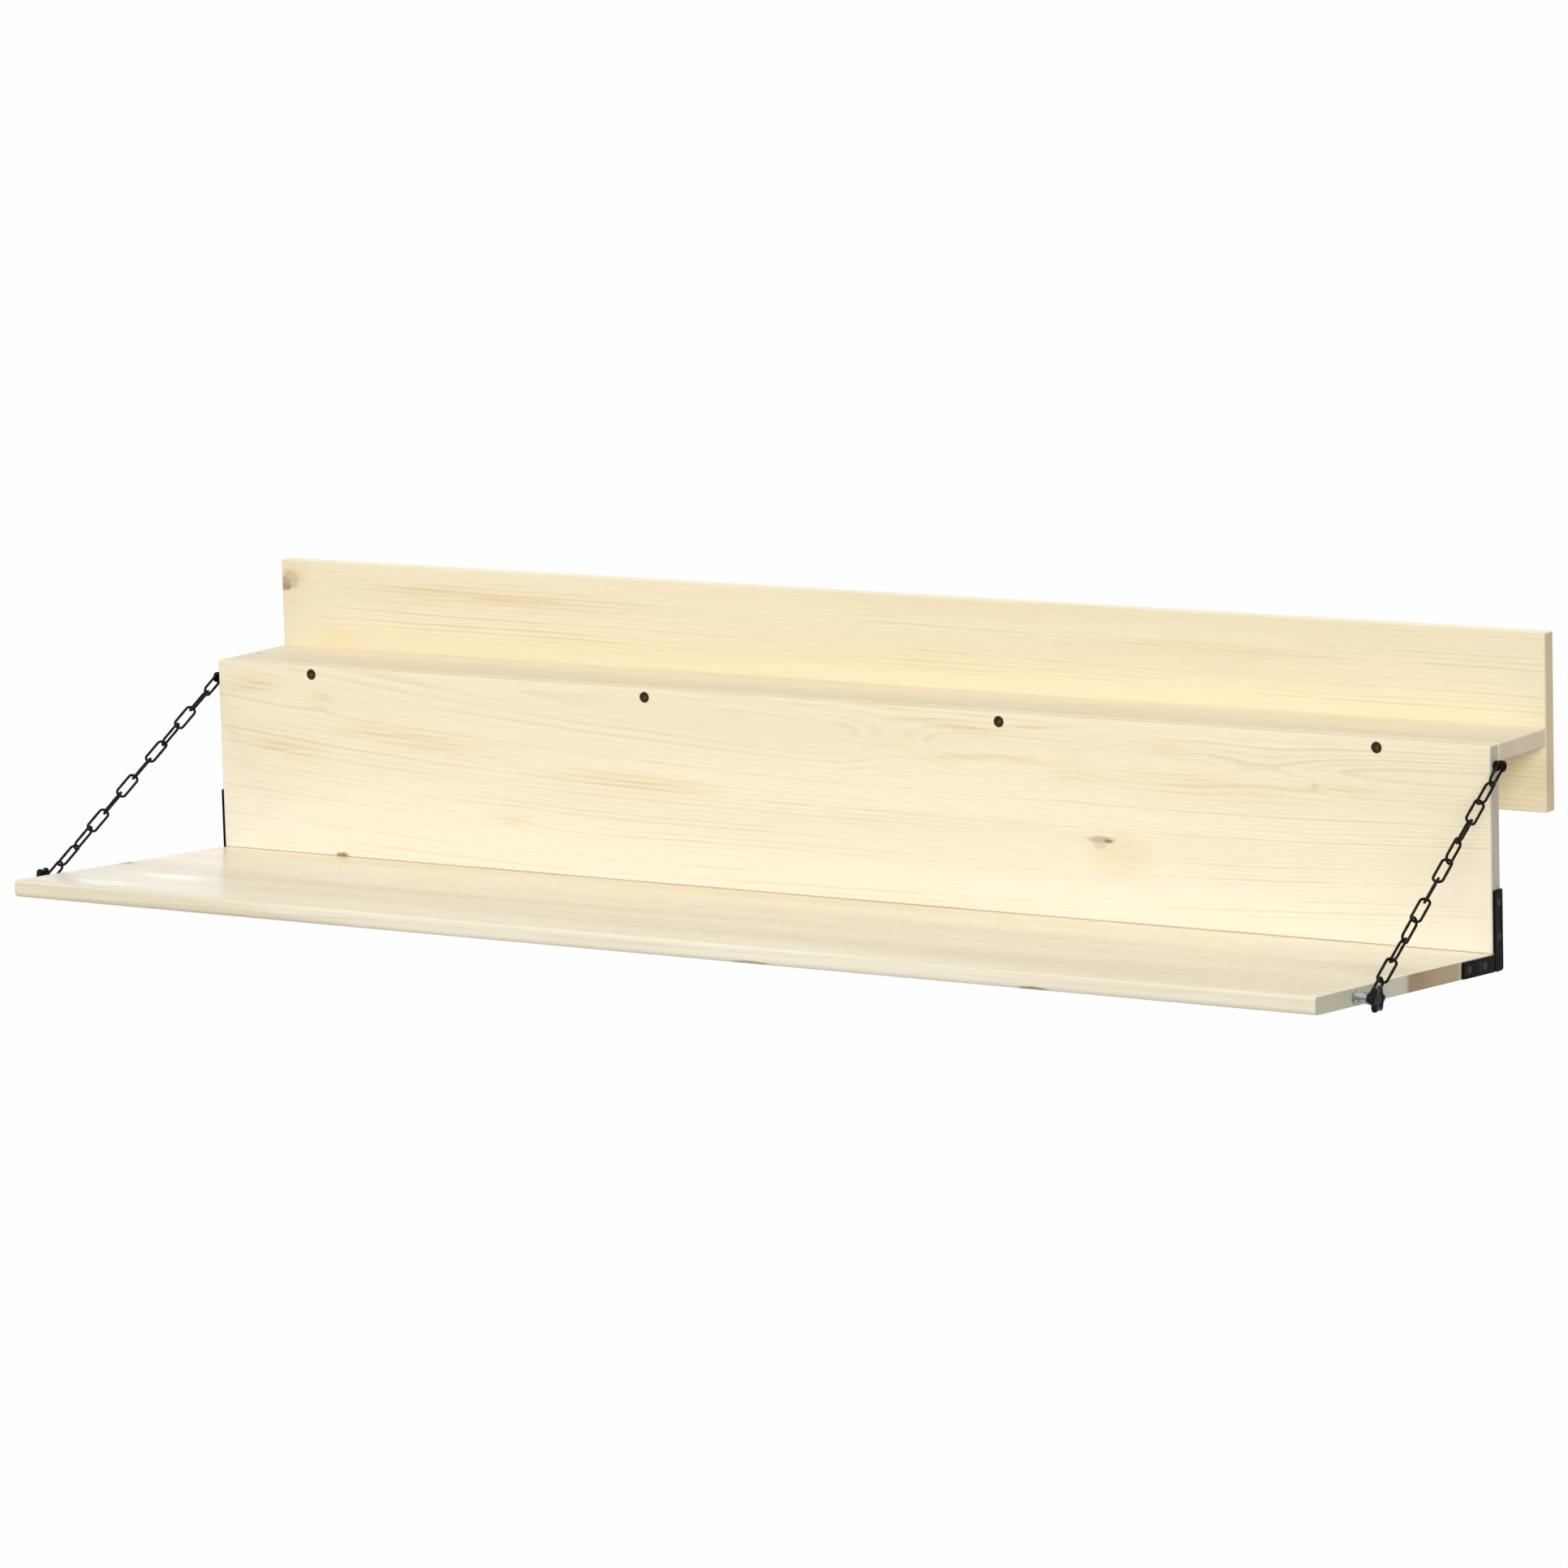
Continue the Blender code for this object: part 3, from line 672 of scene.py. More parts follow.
def fine_skin():
    """The grain of a coating or a moulding: faint colour, roughness and relief."""
    inputs = sockets(PLACE, "Position") + sockets(COLOUR, "Dark", "Light")
    inputs += sockets(VALUE, "Grain", "Mean Roughness")
    maker, given, out = new_group("fine_skin", inputs, SURFACE_OUTPUTS)
    grain = maker.pattern(given["Position"], maker.even(given["Grain"]))
    patch = maker.pattern(given["Position"], SKIN_PATCHES, **RICH)
    lighter = maker.rise(patch, *SKIN_LIGHTENS)
    maker.feed(out["Color"], maker.blend(lighter, given["Dark"], given["Light"]))
    rough = maker.plus(given["Mean Roughness"], maker.swing(patch, SKIN_ROUGH_PATCHES))
    maker.feed(out["Roughness"], maker.plus(rough, maker.times(grain, SKIN_ROUGH_GRAIN)))
    maker.feed(out["Height"], grain)
    return maker.tree


SKIN = fine_skin()


def skinned(name, dark, light, roughness, grain, depth, shine, metallic=0.0, socket=None):
    """A coated or bare surface. A socket gives the colour of a screw's drive, worn about its axis."""
    material, maker, shader = new_material(name)
    place = maker.add("ShaderNodeTexCoord").outputs["Object"]
    given = {"Position": place, "Grain": grain, "Dark": dark, "Light": light, "Mean Roughness": roughness}
    made = maker.place(SKIN, given)
    colour = made["Color"]
    if socket:
        from_axis = maker.vector("LENGTH", maker.stretch(place, (1, 1, 0)))
        colour = maker.blend(maker.fall(from_axis, *SOCKET_WEAR), colour, socket)
    maker.feed(shader.inputs["Base Color"], colour)
    maker.feed(shader.inputs["Roughness"], made["Roughness"])
    shader.inputs["Metallic"].default_value = metallic
    shader.inputs["Specular IOR Level"].default_value = shine
    relief(maker, shader, made["Height"], depth, SKIN_STRENGTH)
    return material


BLACK_STEEL = skinned(
    "black_coated_steel",
    dark=srgb(11, 12, 10),
    light=srgb(24, 25, 22),
    roughness=0.44,
    grain=2600.0,
    depth=0.00004,
    shine=0.035,
)
STRAP_SCREW_BLACK = skinned(
    "black_strap_screw",
    dark=srgb(22, 22, 21),
    light=srgb(40, 40, 38),
    roughness=0.36,
    grain=2600.0,
    depth=0.00003,
    shine=0.15,
    socket=srgb(60, 60, 58),
)
PANEL_SCREW_BLACK = skinned(
    "black_screw_steel",
    dark=srgb(46, 40, 22),
    light=srgb(66, 58, 36),
    roughness=0.45,
    grain=2600.0,
    depth=0.00003,
    shine=0.06,
    socket=srgb(112, 104, 80),
)
BLACK_WIRE = skinned(
    "black_coated_wire",
    dark=srgb(18, 14, 7),
    light=srgb(38, 31, 17),
    roughness=0.45,
    grain=3200.0,
    depth=0.00003,
    shine=0.08,
)
BLACK_PLASTIC = skinned(
    "black_moulded_plastic",
    dark=srgb(5, 7, 9),
    light=srgb(12, 15, 19),
    roughness=0.26,
    grain=4200.0,
    depth=0.00002,
    shine=0.11,
)
ZINC = skinned(
    "zinc_plated_steel",
    dark=srgb(108, 112, 112),
    light=srgb(184, 189, 189),
    roughness=0.15,
    grain=1400.0,
    depth=0.00001,
    shine=0.5,
    metallic=1.0,
)


# Small hardware in mesh code

ROUND = 48
THREAD_PITCH = 0.0008
THREAD_STEPS = 8

# A drive socket's two rings of lobes and its rim, as shares of its radius and of its depth
SOCKET_LOBES = 6
SOCKET_FLOOR = (0.72, 0.90)
SOCKET_WALL = (0.78, 1.0)
SOCKET_RIM = 1.16
SOCKET_WALL_TOP = 0.12


def finish_mesh(mesh, sharp=35):
    """Turns a made mesh's faces outwards and shades it smooth between sharp edges, given in degrees."""
    form = bmesh.new()
    form.from_mesh(mesh)
    bmesh.ops.recalc_face_normals(form, faces=form.faces)
    form.to_mesh(mesh)
    form.free()
    mesh.shade_smooth()
    mesh.set_sharp_from_angle(angle=math.radians(sharp))
    return mesh


def ring_mesh(name, rings, tips=None, sharp=35):
    """A closed skin over rings of equal count, ended by two tips or, without tips, run round on itself."""
    count = len(rings[0])
    points = [point for ring in rings for point in ring]
    faces = []
    spans = len(rings) if tips is None else len(rings) - 1
    for i in range(spans):
        low = i * count
        high = (i + 1) % len(rings) * count
        for j in range(count):
            k = (j + 1) % count
            faces.append((low + j, low + k, high + k, high + j))
    if tips is not None:
        for tip, base in zip(tips, (0, (len(rings) - 1) * count)):
            points.append((0, 0, tip))
            faces += [(base + j, base + (j + 1) % count, len(points) - 1) for j in range(count)]
    mesh = bpy.data.meshes.new(name)
    mesh.from_pydata(points, [], faces)
    return finish_mesh(mesh, sharp)


def ring_at(height, radius_at):
    """A ring at a height, with its radius by angle."""
    angles = [2 * math.pi * j / ROUND for j in range(ROUND)]
    return [(radius_at(a) * math.cos(a), radius_at(a) * math.sin(a), height) for a in angles]


def circle(radius, height):
    return ring_at(height, lambda angle: radius)


def turned(outline):
    """Rings of a turned form, from the radius and height of each."""
    return [circle(radius, height) for radius, height in outline]


def lobed(low, high, lobes, height):
    """A ring that swings between two radii."""
    return ring_at(height, lambda angle: (low + high) / 2 + (high - low) / 2 * math.cos(lobes * angle))


def dome(radius, base, rise, steps):
    """The outline of a domed head, from near its middle to its rim."""
    angles = [math.pi / 2 * (i + 1) / steps for i in range(steps)]
    return [(radius * math.sin(a), base + rise * math.cos(a)) for a in angles]


def thread_ring(radius, depth, height):
    """The ring that a screw thread makes at a height."""

    def radius_at(angle):
        turn = (height / THREAD_PITCH - angle / (2 * math.pi)) % 1
        return radius - depth * abs(2 * turn - 1)

    return ring_at(height, radius_at)


def threaded(radius, depth, low, high):
    """Rings of a screw thread between two heights."""
    steps = round((high - low) / THREAD_PITCH * THREAD_STEPS)
    return [thread_ring(radius, depth, low + (high - low) * i / steps) for i in range(steps + 1)]


def recess(radius, depth, top=0.0):
    """The rings of a lobed drive socket, from its floor to its rim."""
    floor = [radius * share for share in SOCKET_FLOOR]
    wall = [radius * share for share in SOCKET_WALL]
    return [
        lobed(*floor, SOCKET_LOBES, top - depth),
        lobed(*wall, SOCKET_LOBES, top - depth * SOCKET_WALL_TOP),
        circle(radius * SOCKET_RIM, top),
    ]


def facing(direction, position):
    """Stands a piece so that its local +Z faces a direction."""
    turn = Vector(direction).to_track_quat("Z", "Y").to_matrix().to_4x4()
    return Matrix.Translation(position) @ turn


def spun(angle):
    """A turn about a piece's own axis."""
    return Matrix.Rotation(angle, 4, "Z")


Seat = namedtuple("Seat", "outer inner middle length")


def seat_of(node, way, axis=0):
    """A solid's outer and inner face on an axis, its middle, and its length there."""
    low, high = (Vector(corner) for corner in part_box(node))
    middle = (low + high) / 2
    outer = middle.copy()
    inner = middle.copy()
    outer[axis], inner[axis] = (low[axis], high[axis]) if way < 0 else (high[axis], low[axis])
    return Seat(outer, inner, middle, high[axis] - low[axis])


def stand_for(node, mesh, at, body, finish):
    """Puts a finer piece in the place of a solid of the same name."""
    piece = bpy.data.objects.new(f"{node}_fine", mesh)
    scene.collection.objects.link(piece)
    piece.matrix_world = at
    dress(piece, finish)
    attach(piece, body)
    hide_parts(node)


# Wood screws

ScrewSize = namedtuple("ScrewSize", "head shank head_depth length turn")
PANEL_SCREW = ScrewSize(head=0.0045, shank=0.0020, head_depth=0.0026, length=0.045, turn=0.55)
STRAP_SCREW = ScrewSize(head=0.0030, shank=0.0014, head_depth=0.0015, length=0.022, turn=0.8)
PANEL_SCREWS = 4
STRAP_SCREWS = 2

# A countersunk head's socket, its rim and its neck, as shares of the head, its depth and the shank
HEAD_SOCKET = 0.42
HEAD_SOCKET_DEPTH = 0.62
HEAD_SOCKET_TIP = 0.72
HEAD_RIM = ((0.93, 0), (0.985, -0.02), (1.0, -0.06))
NECK = 1.12


def countersunk_mesh(name, size):
    """A countersunk wood screw with its head flush at height 0 and its tip at minus its length."""
    head, shank, deep = size.head, size.shank, size.head_depth
    rings = recess(head * HEAD_SOCKET, deep * HEAD_SOCKET_DEPTH)
    rings += turned([(head * radius, head * height) for radius, height in HEAD_RIM])
    rings += turned([(shank * NECK, -deep), (shank, -deep - shank), (shank, 2 * shank - size.length)])
    return ring_mesh(name, rings, (-deep * HEAD_SOCKET_TIP, -size.length), sharp=30)


def finish_screws():
    """The countersunk screws in the panels and in the hinge straps."""
    panel = countersunk_mesh("panel_screw", PANEL_SCREW)
    for label, way in (("front", -1), ("back", 1)):
        for i in range(1, PANEL_SCREWS + 1):
            node = f"{label}_panel_screw_{i}"
            at = facing((0, way, 0), seat_of(node, way, axis=1).outer) @ spun(PANEL_SCREW.turn * i)
            stand_for(node, panel, at, "railing_frame", PANEL_SCREW_BLACK)
    strap = countersunk_mesh("strap_screw", STRAP_SCREW)
    for side_name, side in SIDES:
        for label, body in (("fixed", "railing_frame"), ("leaf", "leaf")):
            for i in range(1, STRAP_SCREWS + 1):
                node = f"{label}_strap_{side_name}_screw_{i}"
                at = facing((side, 0, 0), seat_of(node, side).outer) @ spun(STRAP_SCREW.turn * i)
                stand_for(node, strap, at, body, STRAP_SCREW_BLACK)


# Hinges

STRAP_WIDTH = 0.013
STRAP_THICK = 0.002
STRAP_EDGE = 0.0003
STRAP_GAP = 0.0003
STRAP_TIP = 0.0010
FIXED_STRAP_REACH = 0.0565
LEAF_STRAP_REACH = 0.060
HOLES_FROM_TIP = (0.036, 0.010)
HOLE_FIT = 0.0003
EYE_CORNER = 0.0025
EYE_SHOULDER = 0.00845
EYE_STEP = 0.00005
EYE_THICK = 0.00085
PIN_RADIUS = 0.0025
PIN_HEAD = 0.0036
PIN_EASE = 0.0004
PIN_TOP = (
    (0.0012, 0),
    (0.0030, -0.00004),
    (0.0034, -0.00010),
    (PIN_HEAD, -0.00022),
    (PIN_RADIUS, -0.0006),
)
CORNER_STEPS = 12
TIP_STEPS = 5
HOLE_STEPS = 32
WELD_DISTANCE = 0.000001


def end_frame(position, along, side):
    """A frame on an end of the table: local X along a direction, local Z out of the end."""
    x = Vector(along)
    z = Vector((side, 0, 0))
    turn = Matrix((x, z.cross(x), z)).transposed().to_4x4()
    return Matrix.Translation(position) @ turn


def add_outline(curve, points):
    spline = curve.splines.new("POLY")
    spline.points.add(len(points) - 1)
    for point, (x, y) in zip(spline.points, points):
        point.co = (x, y, 0, 1)
    spline.use_cyclic_u = True


def arc(centre, radius, start, end, steps):
    """Points on an arc, with its angles in degrees."""
    angles = [math.radians(start + (end - start) * i / steps) for i in range(steps + 1)]
    return [(centre[0] + radius * math.cos(a), centre[1] + radius * math.sin(a)) for a in angles]


def strap_plate(name, reach, corner, eye_hole):
    """The mesh of a flat strap with eased edges and three holes, before its eye is halved."""
    half = STRAP_WIDTH / 2 - STRAP_EDGE
    inset = half - corner
    tip_x = reach - STRAP_EDGE - STRAP_TIP
    tip_y = half - STRAP_TIP
    outline = arc((-inset, inset), corner, 90, 180, CORNER_STEPS)
    outline += arc((-inset, -inset), corner, 180, 270, CORNER_STEPS)
    outline += arc((tip_x, -tip_y), STRAP_TIP, 270, 360, TIP_STEPS)
    outline += arc((tip_x, tip_y), STRAP_TIP, 0, 90, TIP_STEPS)
    curve = bpy.data.curves.new(name, "CURVE")
    curve.dimensions = "2D"
    curve.fill_mode = "BOTH"
    curve.extrude = STRAP_THICK / 2 - STRAP_EDGE
    curve.bevel_depth = STRAP_EDGE
    curve.bevel_resolution = 2
    add_outline(curve, outline)
    holes = [(0, eye_hole)] + [(reach - back, STRAP_SCREW.head) for back in HOLES_FROM_TIP]
    for x, radius in holes:
        add_outline(curve, arc((x, 0), radius + HOLE_FIT + STRAP_EDGE, 360, 0, HOLE_STEPS)[:-1])
    guide = bpy.data.objects.new(name, curve)
    scene.collection.objects.link(guide)
    graph = bpy.context.evaluated_depsgraph_get()
    mesh = bpy.data.meshes.new_from_object(guide.evaluated_get(graph))
    bpy.data.objects.remove(guide)
    return mesh


def strap_mesh(name, reach, corner, eye_hole, outer):
    """A flat strap, halved about its eye so that its outer or its inner face stays."""
    mesh = strap_plate(name, reach, corner, eye_hole)
    form = bmesh.new()
    form.from_mesh(mesh)
    bmesh.ops.remove_doubles(form, verts=form.verts, dist=WELD_DISTANCE)
    for at in (EYE_SHOULDER, EYE_SHOULDER - EYE_STEP):
        everything = form.verts[:] + form.edges[:] + form.faces[:]
        bmesh.ops.bisect_plane(form, geom=everything, plane_co=(at, 0, 0), plane_no=(1, 0, 0))
    kept = STRAP_THICK / 2 if outer else -STRAP_THICK / 2
    for vert in form.verts:
        if vert.co.x < EYE_SHOULDER - EYE_STEP / 2:
            vert.co.z = kept + (vert.co.z - kept) * EYE_THICK / STRAP_THICK
    form.to_mesh(mesh)
    form.free()
    return finish_mesh(mesh, sharp=30)


def pin_mesh(name, length):
    """A rivet with its flush head at height 0."""
    tail = [(PIN_RADIUS, PIN_EASE - length), (PIN_RADIUS - PIN_EASE, -length)]
    return ring_mesh(name, turned(PIN_TOP) + turned(tail), (0, -length))


def finish_hinges():
    """The crossed straps on the table's ends, and the rivets that join them."""
    round_eye = STRAP_WIDTH / 2 - STRAP_EDGE
    fixed = strap_mesh("fixed_strap", FIXED_STRAP_REACH, EYE_CORNER, PIN_HEAD, outer=True)
    moving = strap_mesh("leaf_strap", LEAF_STRAP_REACH, round_eye, PIN_RADIUS, outer=False)
    off_the_end = Matrix.Translation((0, 0, STRAP_GAP + STRAP_THICK / 2))
    for side_name, side in SIDES:
        end = PIVOT + Vector((side * HALF_LENGTH, 0, 0))
        upright = end_frame(end, (0, 0, 1), side) @ off_the_end
        level = end_frame(end, LEAF_OUT, side) @ off_the_end
        node = f"fixed_strap_{side_name}"
        stand_for(node, fixed, upright, "railing_frame", BLACK_STEEL)
        node = f"leaf_strap_{side_name}"
        stand_for(node, moving, level, "leaf", BLACK_STEEL)
        node = f"hinge_pin_{side_name}"
        seat = seat_of(node, side)
        at = facing((side, 0, 0), (seat.outer.x, end.y, end.z))
        stand_for(node, pin_mesh(node, seat.length), at, "railing_frame", BLACK_STEEL)


# Chain anchors

ANCHOR_HEAD = 0.0044
ANCHOR_RISE = 0.0016
ANCHOR_STEPS = 9
ANCHOR_SHANK = 0.0022
ANCHOR_POINT = 0.0044
ANCHOR_SOCKET = (0.0018, 0.0013, -0.0001)
ANCHOR_SOCKET_TIP = -0.0015
ANCHOR_FLAT = 0.0023
ANCHOR_UNDERSIDE = ((ANCHOR_HEAD, -0.0022), (0.0041, -0.0025), (ANCHOR_SHANK, -0.0025))
ANCHOR_TURN = 0.3
SPACER_RADIUS = 0.0040
SPACER_BORE = 0.0025
SPACER_EASE = 0.0003


def anchor_mesh(name, length):
    """A round-headed screw with the top of its head at height 0."""
    head = dome(ANCHOR_HEAD, -ANCHOR_RISE, ANCHOR_RISE, ANCHOR_STEPS)
    rings = recess(*ANCHOR_SOCKET)
    rings += turned([(radius, height) for radius, height in head if radius > ANCHOR_FLAT])
    rings += turned(ANCHOR_UNDERSIDE) + turned([(ANCHOR_SHANK, ANCHOR_POINT - length)])
    return ring_mesh(name, rings, (ANCHOR_SOCKET_TIP, -length))


def spacer_mesh(name, half):
    """A short tube with eased rims."""
    rim = SPACER_RADIUS - SPACER_EASE
    upper = [(SPACER_BORE, half), (rim, half), (SPACER_RADIUS, half - SPACER_EASE)]
    lower = [(radius, -height) for radius, height in reversed(upper)]
    return ring_mesh(name, turned(upper + lower))


def finish_anchors():
    """The round-headed screws at the chains' upper ends, and the spacers behind them."""
    for side_name, side in SIDES:
        node = f"chain_anchor_{side_name}"
        seat = seat_of(node, side)
        at = facing((side, 0, 0), seat.outer) @ spun(ANCHOR_TURN)
        stand_for(node, anchor_mesh(node, seat.length), at, "railing_frame", BLACK_STEEL)
        node = f"anchor_spacer_{side_name}"
        seat = seat_of(node, side)
        at = facing((side, 0, 0), seat.middle)
        stand_for(node, spacer_mesh(node, seat.length / 2), at, "railing_frame", BLACK_STEEL)


# Sleeves and star knobs

SLEEVE_BORE = 0.0027
SLEEVE_BORE_DEPTH = 0.0160
SLEEVE_BORE_THREAD = (0.0003, -0.0158, -0.0006)
SLEEVE_MOUTH = ((SLEEVE_BORE, -0.0005), (SLEEVE_BORE + 0.0005, 0))
SLEEVE_COLLAR = (
    (0.0040, 0),
    (0.0045, -0.0005),
    (0.0045, -0.0088),
    (0.0042, -0.0090),
    (0.0042, -0.0096),
    (0.0045, -0.0098),
    (0.0045, -0.0117),
    (0.0042, -0.0120),
)
SLEEVE_SHANK = 0.0038
SLEEVE_END = 0.0032
SLEEVE_EASE = 0.0006
STUD_RADIUS = 0.0024
STUD_THREAD_DEPTH = 0.0004
STUD_TIP = (0.0018, 0.0003)
STUD_ROOT = (0.0020, 0.0002)
KNOB_LOBES = 6
KNOB_WAIST = 0.0082
KNOB_REACH = 0.0105
KNOB_HUB = (
    (0.0027, 0.0038),
    (0.0027, 0.0002),
    (0.0029, 0),
    (0.0046, 0),
    (0.0049, 0.0002),
    (0.0051, 0.0008),
)
# How far the lobes draw in at each height
KNOB_SIDE = (
    (0.0026, 0.0009),
    (0.0012, 0.0011),
    (0.0004, 0.0016),
    (0.0, 0.0024),
    (0.0, 0.0038),
    (0.0003, 0.0046),
    (0.0010, 0.0052),
    (0.0020, 0.0055),
)
KNOB_CAP = ((0.0058, 0.0056), (0.0054, 0.0054), (0.0052, 0.0049), (0.0050, 0.0047), (0.0026, 0.0049))
KNOB_TIPS = (0.0038, 0.0050)


def sleeve_mesh(name, length):
    """A sleeve with a threaded bore, a groove round its collar and a plain shank."""
    depth, low, high = SLEEVE_BORE_THREAD
    rings = turned([(SLEEVE_BORE, -SLEEVE_BORE_DEPTH)]) + threaded(SLEEVE_BORE, depth, low, high)
    rings += turned(SLEEVE_MOUTH) + turned(SLEEVE_COLLAR)
    rings += turned([(SLEEVE_SHANK, SLEEVE_COLLAR[-1][1]), (SLEEVE_SHANK, SLEEVE_EASE - length)])
    rings += turned([(SLEEVE_END, -length)])
    return ring_mesh(name, rings, (-SLEEVE_BORE_DEPTH, -length))


def stud_mesh(name, length):
    """A threaded stud that stands up from height 0."""
    tip_radius, tip_ease = STUD_TIP
    root_radius, root_ease = STUD_ROOT
    rings = turned([(tip_radius, 0)])
    rings += threaded(STUD_RADIUS, STUD_THREAD_DEPTH, tip_ease, length - root_ease)
    rings += turned([(root_radius, length)])
    return ring_mesh(name, rings, (0, length), sharp=50)


def knob_mesh(name):
    """A lobed hand knob with a hub beneath, a socket for its stud and a sunk cap."""
    rings = turned(KNOB_HUB)
    for drop, height in KNOB_SIDE:
        rings.append(lobed(KNOB_WAIST - drop, KNOB_REACH - drop, KNOB_LOBES, height))
    rings += turned(KNOB_CAP)
    return ring_mesh(name, rings, KNOB_TIPS, sharp=40)


def finish_knobs():
    """Threaded sleeves in the leaf's ends, and the star knobs on their studs."""
    for side_name, side in SIDES:
        out = (side, 0, 0)
        body = f"knob_{side_name}"
        node = f"threaded_sleeve_{side_name}"
        seat = seat_of(node, side)
        stand_for(node, sleeve_mesh(node, seat.length), facing(out, seat.outer), "leaf", ZINC)
        node = f"knob_stud_{side_name}"
        seat = seat_of(node, side)
        stand_for(node, stud_mesh(node, seat.length), facing(out, seat.inner), body, ZINC)
        node = f"star_knob_{side_name}"
        at = facing(out, seat_of(node, side).inner)
        stand_for(node, knob_mesh(node), at, body, BLACK_PLASTIC)


# Chains

CHAIN_LINKS = 12
MODEL_LINK = "chain_link_right_06"
STRAIGHT_STEPS = 12
BEND_STEPS = 16
WIRE_SIDES = 14
WELD_SWELL = 0.10
WELD_SPREAD = 1.3


def link_frame(node):
    """A solid link's place and sizes: its middle, and its axes by length, width and thickness."""
    mesh = nodes[node].data
    points = np.empty(len(mesh.vertices) * 3)
    mesh.vertices.foreach_get("co", points)
    points = points.reshape(-1, 3)
    _, mid_axis, long_axis = np.linalg.eigh(np.cov(points.T))[1].T
    axes = [long_axis, mid_axis, np.cross(long_axis, mid_axis)]
    spans = []
    middle = np.zeros(3)
    for axis in axes:
        reach = points @ axis
        spans.append(float(np.ptp(reach)))
        middle += axis * (reach.max() + reach.min()) / 2
    turn = Matrix([[float(v) for v in axis] for axis in axes]).transposed().to_4x4()
    return Matrix.Translation([float(v) for v in middle]) @ turn, spans


def link_bend(centre_x, radius, start):
    """Half a turn at one end of a link, from a start in degrees."""
    path = []
    for i in range(1, BEND_STEPS):
        angle = math.radians(start + 180 * i / BEND_STEPS)
        out = (math.cos(angle), math.sin(angle))
        path.append(((centre_x + radius * out[0], radius * out[1]), out, math.inf))
    return path


def link_path(half, bend):
    """A link's middle line: each point, the way out of the link there, and the steps from the weld."""
    shares = [2 * i / STRAIGHT_STEPS - 1 for i in range(STRAIGHT_STEPS + 1)]
    welded = [((-half * share, bend), (0, 1), share * STRAIGHT_STEPS / 2) for share in shares]
    plain = [((half * share, -bend), (0, -1), math.inf) for share in shares]
    return welded + link_bend(-half, bend, 90) + plain + link_bend(half, bend, -90)


def link_mesh(spans):
    """A link of bent round wire in local XY, long in X, with a weld on one of its sides."""
    length, width, wire = spans
    bend = (width - wire) / 2
    half = (length - wire) / 2 - bend
    turns = [2 * math.pi * j / WIRE_SIDES for j in range(WIRE_SIDES)]
    rings = []
    for (x, y), (out_x, out_y), steps in link_path(half, bend):
        radius = wire / 2 * (1 + WELD_SWELL * math.exp(-((steps / WELD_SPREAD) ** 2)))
        section = [(radius * math.cos(a), radius * math.sin(a)) for a in turns]
        rings.append([(x + out_x * out, y + out_y * out, up) for out, up in section])
    return ring_mesh("chain_link", rings, sharp=60)


def finish_chains():
    mesh = link_mesh(link_frame(MODEL_LINK)[1])
    for side_name, _ in SIDES:
        for i in range(1, CHAIN_LINKS + 1):
            node = f"chain_link_{side_name}_{i:02d}"
            at, _ = link_frame(node)
            stand_for(node, mesh, at, f"chain_{side_name}", BLACK_WIRE)


# Studio and camera


def show(maker, share, lit, shown, output):
    """Lights with one shader, and shows another to a share of the rays that see the studio itself."""
    path = maker.add("ShaderNodeLightPath").outputs
    seen = maker.math("MAXIMUM", path["Is Camera Ray"], path["Is Glossy Ray"])
    seen = maker.math("MAXIMUM", seen, path["Is Transmission Ray"])
    mixed = maker.add("ShaderNodeMixShader")
    maker.fill(mixed, (maker.times(seen, share), lit.outputs[0], shown.outputs[0]))
    maker.add(output, {"Surface": mixed.outputs[0]})


def make_sky():
    world = bpy.data.worlds.new("soft_white_studio")
    world.use_nodes = True
    scene.world = world
    world.node_tree.nodes.clear()
    maker = Maker(world.node_tree)
    soft = maker.add("ShaderNodeBackground", {"Color": WHITE, "Strength": SKY_LIGHT})
    white = maker.add("ShaderNodeBackground", {"Color": WHITE, "Strength": 1.0})
    show(maker, 1.0, soft, white, "ShaderNodeOutputWorld")


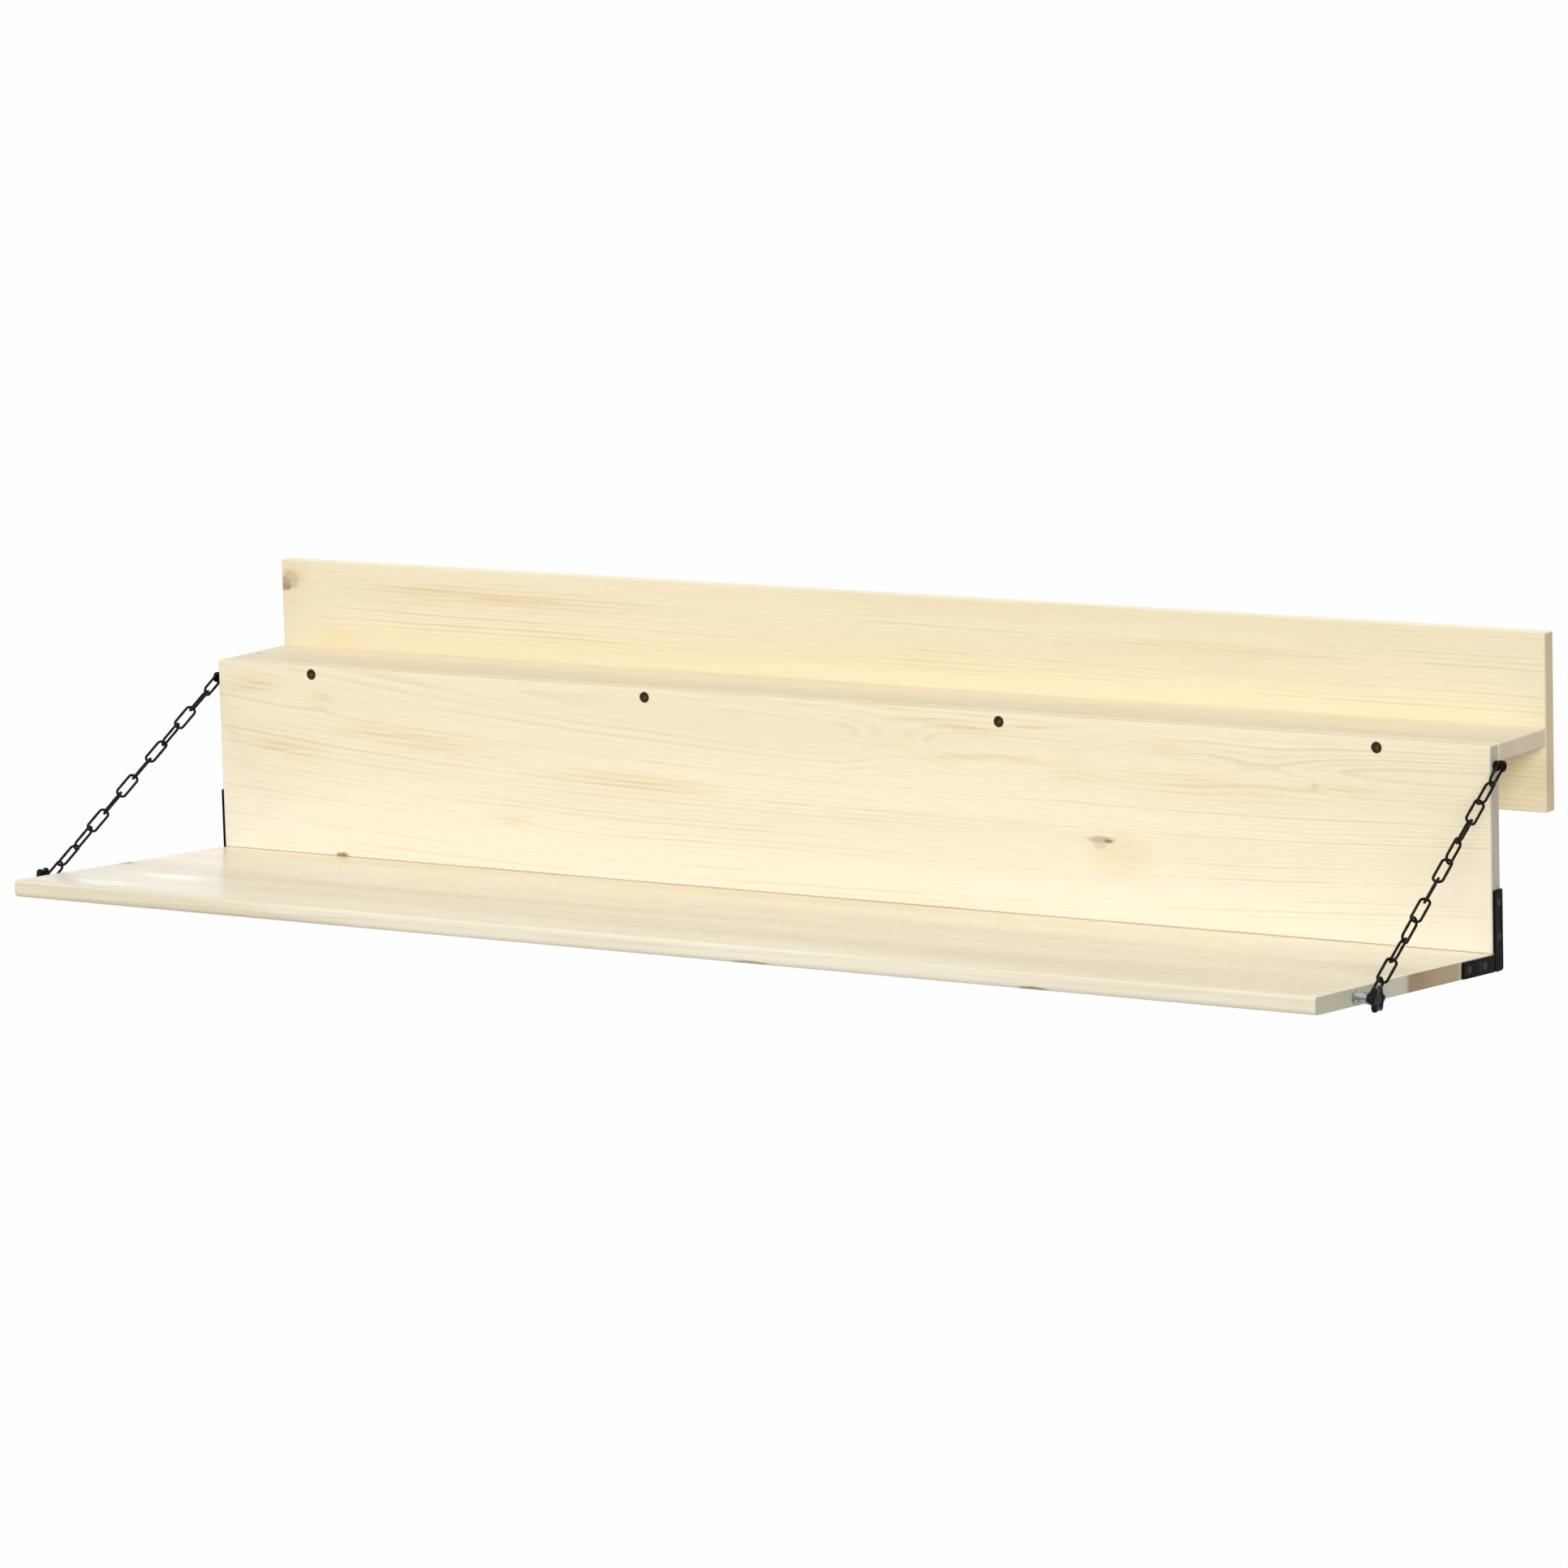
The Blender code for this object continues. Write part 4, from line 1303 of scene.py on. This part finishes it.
def make_floor():
    mesh = bpy.data.meshes.new("studio_floor")
    form = bmesh.new()
    bmesh.ops.create_grid(form, x_segments=FLOOR_CELLS, y_segments=FLOOR_CELLS, size=FLOOR_SIDE / 2)
    form.to_mesh(mesh)
    form.free()
    floor = bpy.data.objects.new("studio_floor", mesh)
    scene.collection.objects.link(floor)
    floor.location.z = FLOOR_HEIGHT
    paper = bpy.data.materials.new("white_paper")
    paper.use_nodes = True
    paper.node_tree.nodes.clear()
    maker = Maker(paper.node_tree)
    matt = maker.add("ShaderNodeBsdfDiffuse", {"Color": (FLOOR_TONE, FLOOR_TONE, FLOOR_TONE, 1)})
    glow = maker.add("ShaderNodeEmission", {"Color": WHITE, "Strength": 1.0})
    show(maker, PAPER_WHITE, matt, glow, "ShaderNodeOutputMaterial")
    mesh.materials.append(paper)


def soft_light(name, position, size, power):
    """A softbox that looks at the table."""
    light = bpy.data.lights.new(name, "AREA")
    light.shape = "RECTANGLE"
    light.size, light.size_y = size
    light.energy = power
    lamp = bpy.data.objects.new(name, light)
    scene.collection.objects.link(lamp)
    lamp.matrix_world = facing(position, position)


def make_studio():
    make_sky()
    make_floor()
    for name, position, size, power in SOFTBOXES:
        soft_light(name, position, size, power)


def make_camera():
    level = Vector((math.cos(AZIMUTH), math.sin(AZIMUTH), 0))
    flat = math.cos(ELEVATION)
    out = Vector((math.sin(AZIMUTH) * flat, -math.cos(AZIMUTH) * flat, math.sin(ELEVATION)))
    upright = out.cross(level)
    x = level * math.cos(ROLL) + upright * math.sin(ROLL)
    y = upright * math.cos(ROLL) - level * math.sin(ROLL)
    data = bpy.data.cameras.new("photo_camera")
    data.sensor_width = SENSOR
    data.lens = FOCAL / PHOTO_SIDE * SENSOR
    data.shift_x = 0.5 - OPTICAL_CENTRE[0] / PHOTO_SIDE
    data.shift_y = OPTICAL_CENTRE[1] / PHOTO_SIDE - 0.5
    camera = bpy.data.objects.new("photo_camera", data)
    scene.collection.objects.link(camera)
    turn = Matrix((x, y, out)).transposed().to_4x4()
    camera.matrix_world = Matrix.Translation(AIM + out * DISTANCE) @ turn
    scene.camera = camera
    scene.view_settings.view_transform = "Standard"


make_camera()
make_studio()
finish_boards()
finish_screws()
finish_hinges()
finish_anchors()
finish_knobs()
finish_chains()
